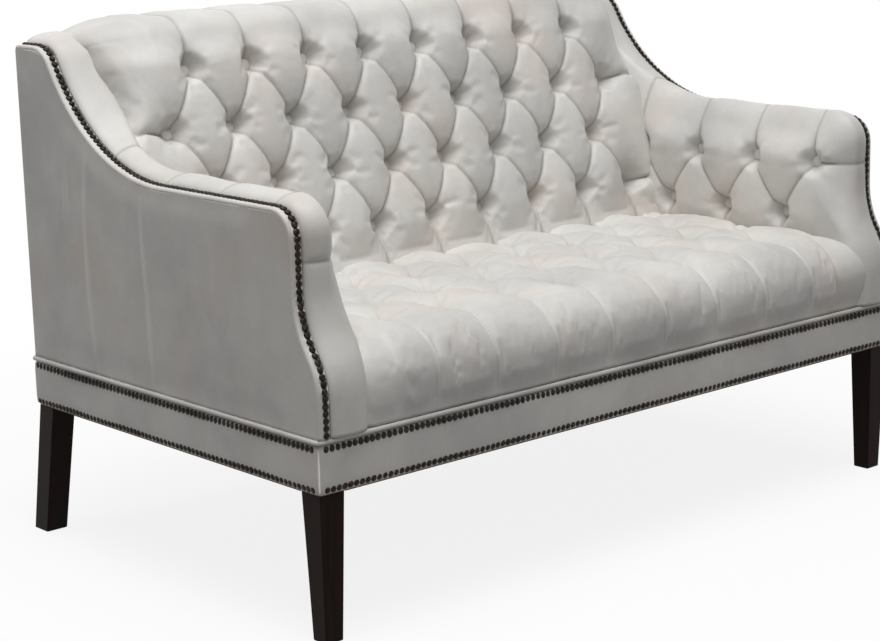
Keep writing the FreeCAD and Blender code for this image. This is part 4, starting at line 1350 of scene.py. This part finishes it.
def make_material(name):
    """A new node material with its tree, its main shader and the object's own coordinates."""
    material = bpy.data.materials.new(name)
    material.use_nodes = True
    tree = material.node_tree
    where = add_node(tree, "ShaderNodeTexCoord").outputs["Object"]
    return material, tree, tree.nodes["Principled BSDF"], where


def tint(tree, share, first, second):
    """Mix two colours; each is a colour or an output."""
    made = add_node(tree, "ShaderNodeMix", {"data_type": "RGBA"})
    colours = [c if isinstance(c, bpy.types.NodeSocket) else (*c, 1.0) for c in (first, second)]
    for socket, value in zip(enabled(made.inputs), (share, *colours)):
        connect(tree, value, socket)
    return enabled(made.outputs)[0]


def level(tree, value, from_low, from_high, to_low, to_high):
    """Stretch an output's range, kept within its ends."""
    made = add_node(tree, "ShaderNodeMapRange", {"clamp": True}, Value=value, From_Min=from_low,
                    From_Max=from_high, To_Min=to_low, To_Max=to_high)
    return made.outputs["Result"]


def noise(tree, where, scale, detail, roughness=0.5):
    made = add_node(tree, "ShaderNodeTexNoise", None, Vector=where, Scale=scale, Detail=detail,
                    Roughness=roughness)
    return made.outputs["Fac"]


def bump(tree, strength, distance, height, **named):
    made = add_node(tree, "ShaderNodeBump", None, Strength=strength, Distance=distance, Height=height,
                    **named)
    return made.outputs["Normal"]


@once("materials", "antique_white_leather")
def leather(name):
    """Off-white hand-rubbed leather: soft patches, painted shade darkening the pleats, darker hollows,
    paler rubbed ridges and a fine pebbled grain.
    """
    look = bpy.context.scene.sofa_leather
    material, tree, shader, where = make_material(name)
    patches = level(tree, noise(tree, where, 7.0, 4.0, 0.55), 0.48, 0.68, 0.0, 0.85)
    cool = level(tree, noise(tree, where, 4.3, 5.0, 0.6), 0.44, 0.66, 0.0, 1.0)
    rubbed = level(tree, noise(tree, where, 26.0, 6.0, 0.65), 0.5, 0.75, 0.0, 0.35)
    pleat, hollow = (add_node(tree, "ShaderNodeAttribute", {"attribute_name": label}).outputs["Fac"]
                     for label in ("pleat", "hollow"))
    # Darker the deeper the leather lies in a hollow
    hollow_darkening = level(tree, hollow, 0.35, 1.0, 0.0, 0.16)
    # Painted shade along the pleats, in the crease colour
    dark = level(tree, pleat, 0.15, 1.0, 0.0, 0.48)
    worn = level(tree, hollow, 0.0, -1.0, 0.0, 0.5)
    colour = look.tone
    for share, over in ((patches, look.blush), (cool, look.ash), (rubbed, look.ash), (hollow_darkening, look.crease),
                        (dark, look.crease), (worn, look.worn)):
        colour = tint(tree, share, colour, over)
    gloss = level(tree, noise(tree, where, 22.0, 4.0), 0.3, 0.7, 0.36, 0.5)
    pebbles = add_node(tree, "ShaderNodeTexVoronoi", {"feature": "SMOOTH_F1"}, Vector=where,
                       Scale=1 / look.grain, Smoothness=0.6).outputs["Distance"]
    grain = bump(tree, 0.12, 0.0004, pebbles)
    creased = bump(tree, 0.25, 0.0012, noise(tree, where, 120.0, 5.0, 0.6), Normal=grain)
    feed(tree, shader, Base_Color=colour, Roughness=gloss, Normal=creased, Specular_IOR_Level=0.32)
    return material


@once("materials", "bronze")
def bronze(name):
    """Aged bronze: dark, with random patches rubbed brighter."""
    look = bpy.context.scene.sofa_trim
    material, tree, shader, where = make_material(name)
    rubbed = level(tree, noise(tree, where, 160.0, 2.0), 0.45, 0.75, 0.0, 0.7)
    gloss = level(tree, noise(tree, where, 420.0, 2.0), 0.3, 0.7, 0.32, 0.5)
    feed(tree, shader, Base_Color=tint(tree, rubbed, look.bronze, look.worn_bronze), Metallic=0.85,
         Roughness=gloss)
    return material


def wood_surface(name, dark, light, scale, gloss):
    """Straight-grained wood along the height."""
    material, tree, shader, where = make_material(name)
    drawn = add_node(tree, "ShaderNodeMapping", None, Vector=where, Scale=(1.0, 1.0, 0.06)).outputs[0]
    grain = noise(tree, drawn, scale, 6.0, 0.6)
    colour = tint(tree, level(tree, grain, 0.38, 0.68, 0.0, 1.0), dark, light)
    feed(tree, shader, Base_Color=colour, Roughness=level(tree, grain, 0.3, 0.7, *gloss),
         Normal=bump(tree, 0.15, 0.0004, grain))
    return material, shader


@once("materials", "stained_wood")
def stained_wood(name):
    """Legs stained nearly black, with a satin lacquer."""
    look = bpy.context.scene.sofa_trim
    material, shader = wood_surface(name, look.wood, look.wood_light, 90.0, (0.30, 0.42))
    shader.inputs["Specular IOR Level"].default_value = 0.05
    return material


@once("materials", "pale_wood")
def pale_wood(name):
    """Unfinished frame timber."""
    return wood_surface(name, (0.42, 0.27, 0.14), (0.58, 0.41, 0.24), 60.0, (0.6, 0.75))[0]


@once("materials", "steel")
def steel(name):
    """Oiled spring steel."""
    material, tree, shader, where = make_material(name)
    stains = level(tree, noise(tree, where, 80.0, 3.0), 0.35, 0.7, 0.0, 1.0)
    feed(tree, shader, Base_Color=tint(tree, stains, (0.36, 0.36, 0.37), (0.22, 0.21, 0.20)), Metallic=1.0,
         Roughness=0.38)
    return material


def woven(name, first, second, threads):
    """Cloth of crossing threads."""
    material, tree, shader, where = make_material(name)
    weave = add_node(tree, "ShaderNodeTexChecker", None, Vector=where, Scale=threads, Color1=(*first, 1),
                     Color2=(*second, 1)).outputs
    raised = bump(tree, 0.4, 0.0005, weave["Fac"])
    feed(tree, shader, Base_Color=weave["Color"], Roughness=0.9, Normal=raised)
    return material


@once("materials", "jute")
def jute(name):
    """Woven jute webbing."""
    return woven(name, (0.34, 0.24, 0.13), (0.24, 0.16, 0.085), 500.0)


@once("materials", "dust_cloth")
def dust_cloth(name):
    """Thin black cloth under the seat."""
    return woven(name, (0.022, 0.022, 0.023), (0.012, 0.012, 0.013), 900.0)


@once("materials", "open_foam")
def open_foam(name):
    """Open-celled foam."""
    material, tree, shader, where = make_material(name)
    cells = level(tree, noise(tree, where, 400.0, 2.0), 0.3, 0.7, 0.0, 1.0)
    feed(tree, shader, Base_Color=tint(tree, cells, (0.62, 0.55, 0.36), (0.72, 0.66, 0.48)), Roughness=0.95)
    return material


def seen_directly(tree):
    """1 for rays from the camera, and for those that glossy and clear surfaces send on."""
    rays = add_node(tree, "ShaderNodeLightPath").outputs
    seen = rays["Is Camera Ray"]
    for kind in ("Is Glossy Ray", "Is Transmission Ray"):
        seen = add_node(tree, "ShaderNodeMath", {"operation": "MAXIMUM"}, seen, rays[kind]).outputs[0]
    return seen


@once("materials", "pale_floor")
def pale_floor(name):
    """A floor that looks white, except for a soft shadow near the sofa, and throws little light back."""
    material, tree, shader, where = make_material(name)
    colour = tint(tree, seen_directly(tree), (0.25, 0.25, 0.25), (0.9, 0.9, 0.9))
    feed(tree, shader, Base_Color=colour, Roughness=0.9)
    white = add_node(tree, "ShaderNodeEmission", None, Color=(1, 1, 1, 1), Strength=1.0)
    distance = add_node(tree, "ShaderNodeVectorMath", {"operation": "LENGTH"}, where)
    paleness = level(tree, distance.outputs["Value"], 0.7, 1.9, 0.86, 1.0)
    share = add_node(tree, "ShaderNodeMath", {"operation": "MULTIPLY"}, seen_directly(tree), paleness)
    blend = add_node(tree, "ShaderNodeMixShader", None, share.outputs[0], shader.outputs[0],
                     white.outputs[0])
    feed(tree, tree.nodes["Material Output"], Surface=blend.outputs[0])
    return material


# Studio

class SOFA_OT_studio(bpy.types.Operator):
    """Set the floor, the lights and the camera"""
    bl_idname = "sofa.studio"
    bl_label = "Studio"

    def execute(self, context):
        sizes = context.scene.sofa_studio
        context.scene.view_settings.view_transform = "Standard"
        make_floor()
        make_world(context.scene, sizes)
        aim = Vector((0, 0, 0.45))
        make_light("overhead_light", sizes.overhead, (4.4, 3.4), Vector((-0.9, -0.85, 5.0)), aim)
        make_light("front_light", sizes.fill, (2.0, 1.6), Vector((-1.6, -3.6, 2.2)), aim)
        make_camera(context.scene, sizes)
        return {"FINISHED"}


def make_floor():
    mesh = bpy.data.meshes.new("studio_floor")
    reach = 30.0
    mesh.from_pydata([(-reach, -reach, 0), (reach, -reach, 0), (reach, reach, 0), (-reach, reach, 0)], [],
                     [(0, 1, 2, 3)])
    floor = bpy.data.objects.new("studio_floor", mesh)
    bpy.context.scene.collection.objects.link(floor)
    mesh.materials.append(pale_floor())


def make_world(scene, sizes):
    """White where the camera looks, and a weaker even light on everything else."""
    world = bpy.data.worlds.new("studio_world")
    scene.world = world
    world.use_nodes = True
    tree = world.node_tree
    even = tree.nodes["Background"]
    feed(tree, even, Color=(1, 1, 1, 1), Strength=sizes.ambient)
    white = add_node(tree, "ShaderNodeBackground", None, Color=(1, 1, 1, 1), Strength=1.0)
    blend = add_node(tree, "ShaderNodeMixShader", None, seen_directly(tree), even.outputs[0],
                     white.outputs[0])
    feed(tree, tree.nodes["World Output"], Surface=blend.outputs[0])


def make_light(name, power, size, where, aim):
    lamp = bpy.data.lights.new(name, "AREA")
    lamp.shape = "RECTANGLE"
    lamp.size, lamp.size_y = size
    lamp.energy = power
    light = bpy.data.objects.new(name, lamp)
    light.location = where
    light.rotation_euler = (aim - where).to_track_quat("-Z", "Y").to_euler()
    bpy.context.scene.collection.objects.link(light)


def make_camera(scene, sizes):
    """Stand the camera at the photograph's view."""
    lens = bpy.data.cameras.new("camera")
    lens.lens = sizes.lens
    lens.sensor_width = 36.0
    lens.sensor_fit = "HORIZONTAL"
    camera = bpy.data.objects.new("camera", lens)
    level_way = math.cos(sizes.pitch)
    ahead = Vector((math.sin(sizes.yaw) * level_way, math.cos(sizes.yaw) * level_way,
                    -math.sin(sizes.pitch)))
    right = Vector((math.cos(sizes.yaw), -math.sin(sizes.yaw), 0))
    up = right.cross(ahead)
    turned_right = right * math.cos(sizes.roll) + up * math.sin(sizes.roll)
    turned_up = up * math.cos(sizes.roll) - right * math.sin(sizes.roll)
    turn = Matrix((turned_right, turned_up, -ahead)).transposed().to_4x4()
    camera.matrix_world = Matrix.Translation(Vector(sizes.place)) @ turn
    scene.collection.objects.link(camera)
    scene.camera = camera


class SOFA_PT_sidebar(bpy.types.Panel):
    """Buttons that make the sofa's pieces, in order"""
    bl_idname = "SOFA_PT_sidebar"
    bl_label = "Chesterfield"
    bl_space_type = "VIEW_3D"
    bl_region_type = "UI"
    bl_category = "Chesterfield"

    def draw(self, context):
        for step in STEPS:
            self.layout.operator(step.bl_idname)


STEPS = (SOFA_OT_studio, SOFA_OT_seat_pad, SOFA_OT_back_pad, SOFA_OT_arm_pads, SOFA_OT_outside_panels,
         SOFA_OT_base_band, SOFA_OT_nails, SOFA_OT_buttons, SOFA_OT_legs, SOFA_OT_inner_frame)
CLASSES = (ButtoningSizes, PadSizes, LeatherLook, TrimLook, StudioSizes, *STEPS, SOFA_PT_sidebar)
GROUPS = (("sofa_buttoning", ButtoningSizes), ("sofa_pads", PadSizes), ("sofa_leather", LeatherLook),
          ("sofa_trim", TrimLook), ("sofa_studio", StudioSizes))


def register():
    for kind in CLASSES:
        bpy.utils.register_class(kind)
    for name, kind in GROUPS:
        setattr(bpy.types.Scene, name, PointerProperty(type=kind))


def unregister():
    for name, _ in GROUPS:
        delattr(bpy.types.Scene, name)
    for kind in reversed(CLASSES):
        bpy.utils.unregister_class(kind)


def main():
    register()
    bpy.ops.sofa.studio()
    bpy.ops.sofa.seat_pad()
    bpy.ops.sofa.back_pad()
    bpy.ops.sofa.arm_pads()
    bpy.ops.sofa.outside_panels()
    bpy.ops.sofa.base_band()
    bpy.ops.sofa.nails()
    bpy.ops.sofa.buttons()
    bpy.ops.sofa.legs()
    bpy.ops.sofa.inner_frame()


if __name__ == "__main__":
    main()
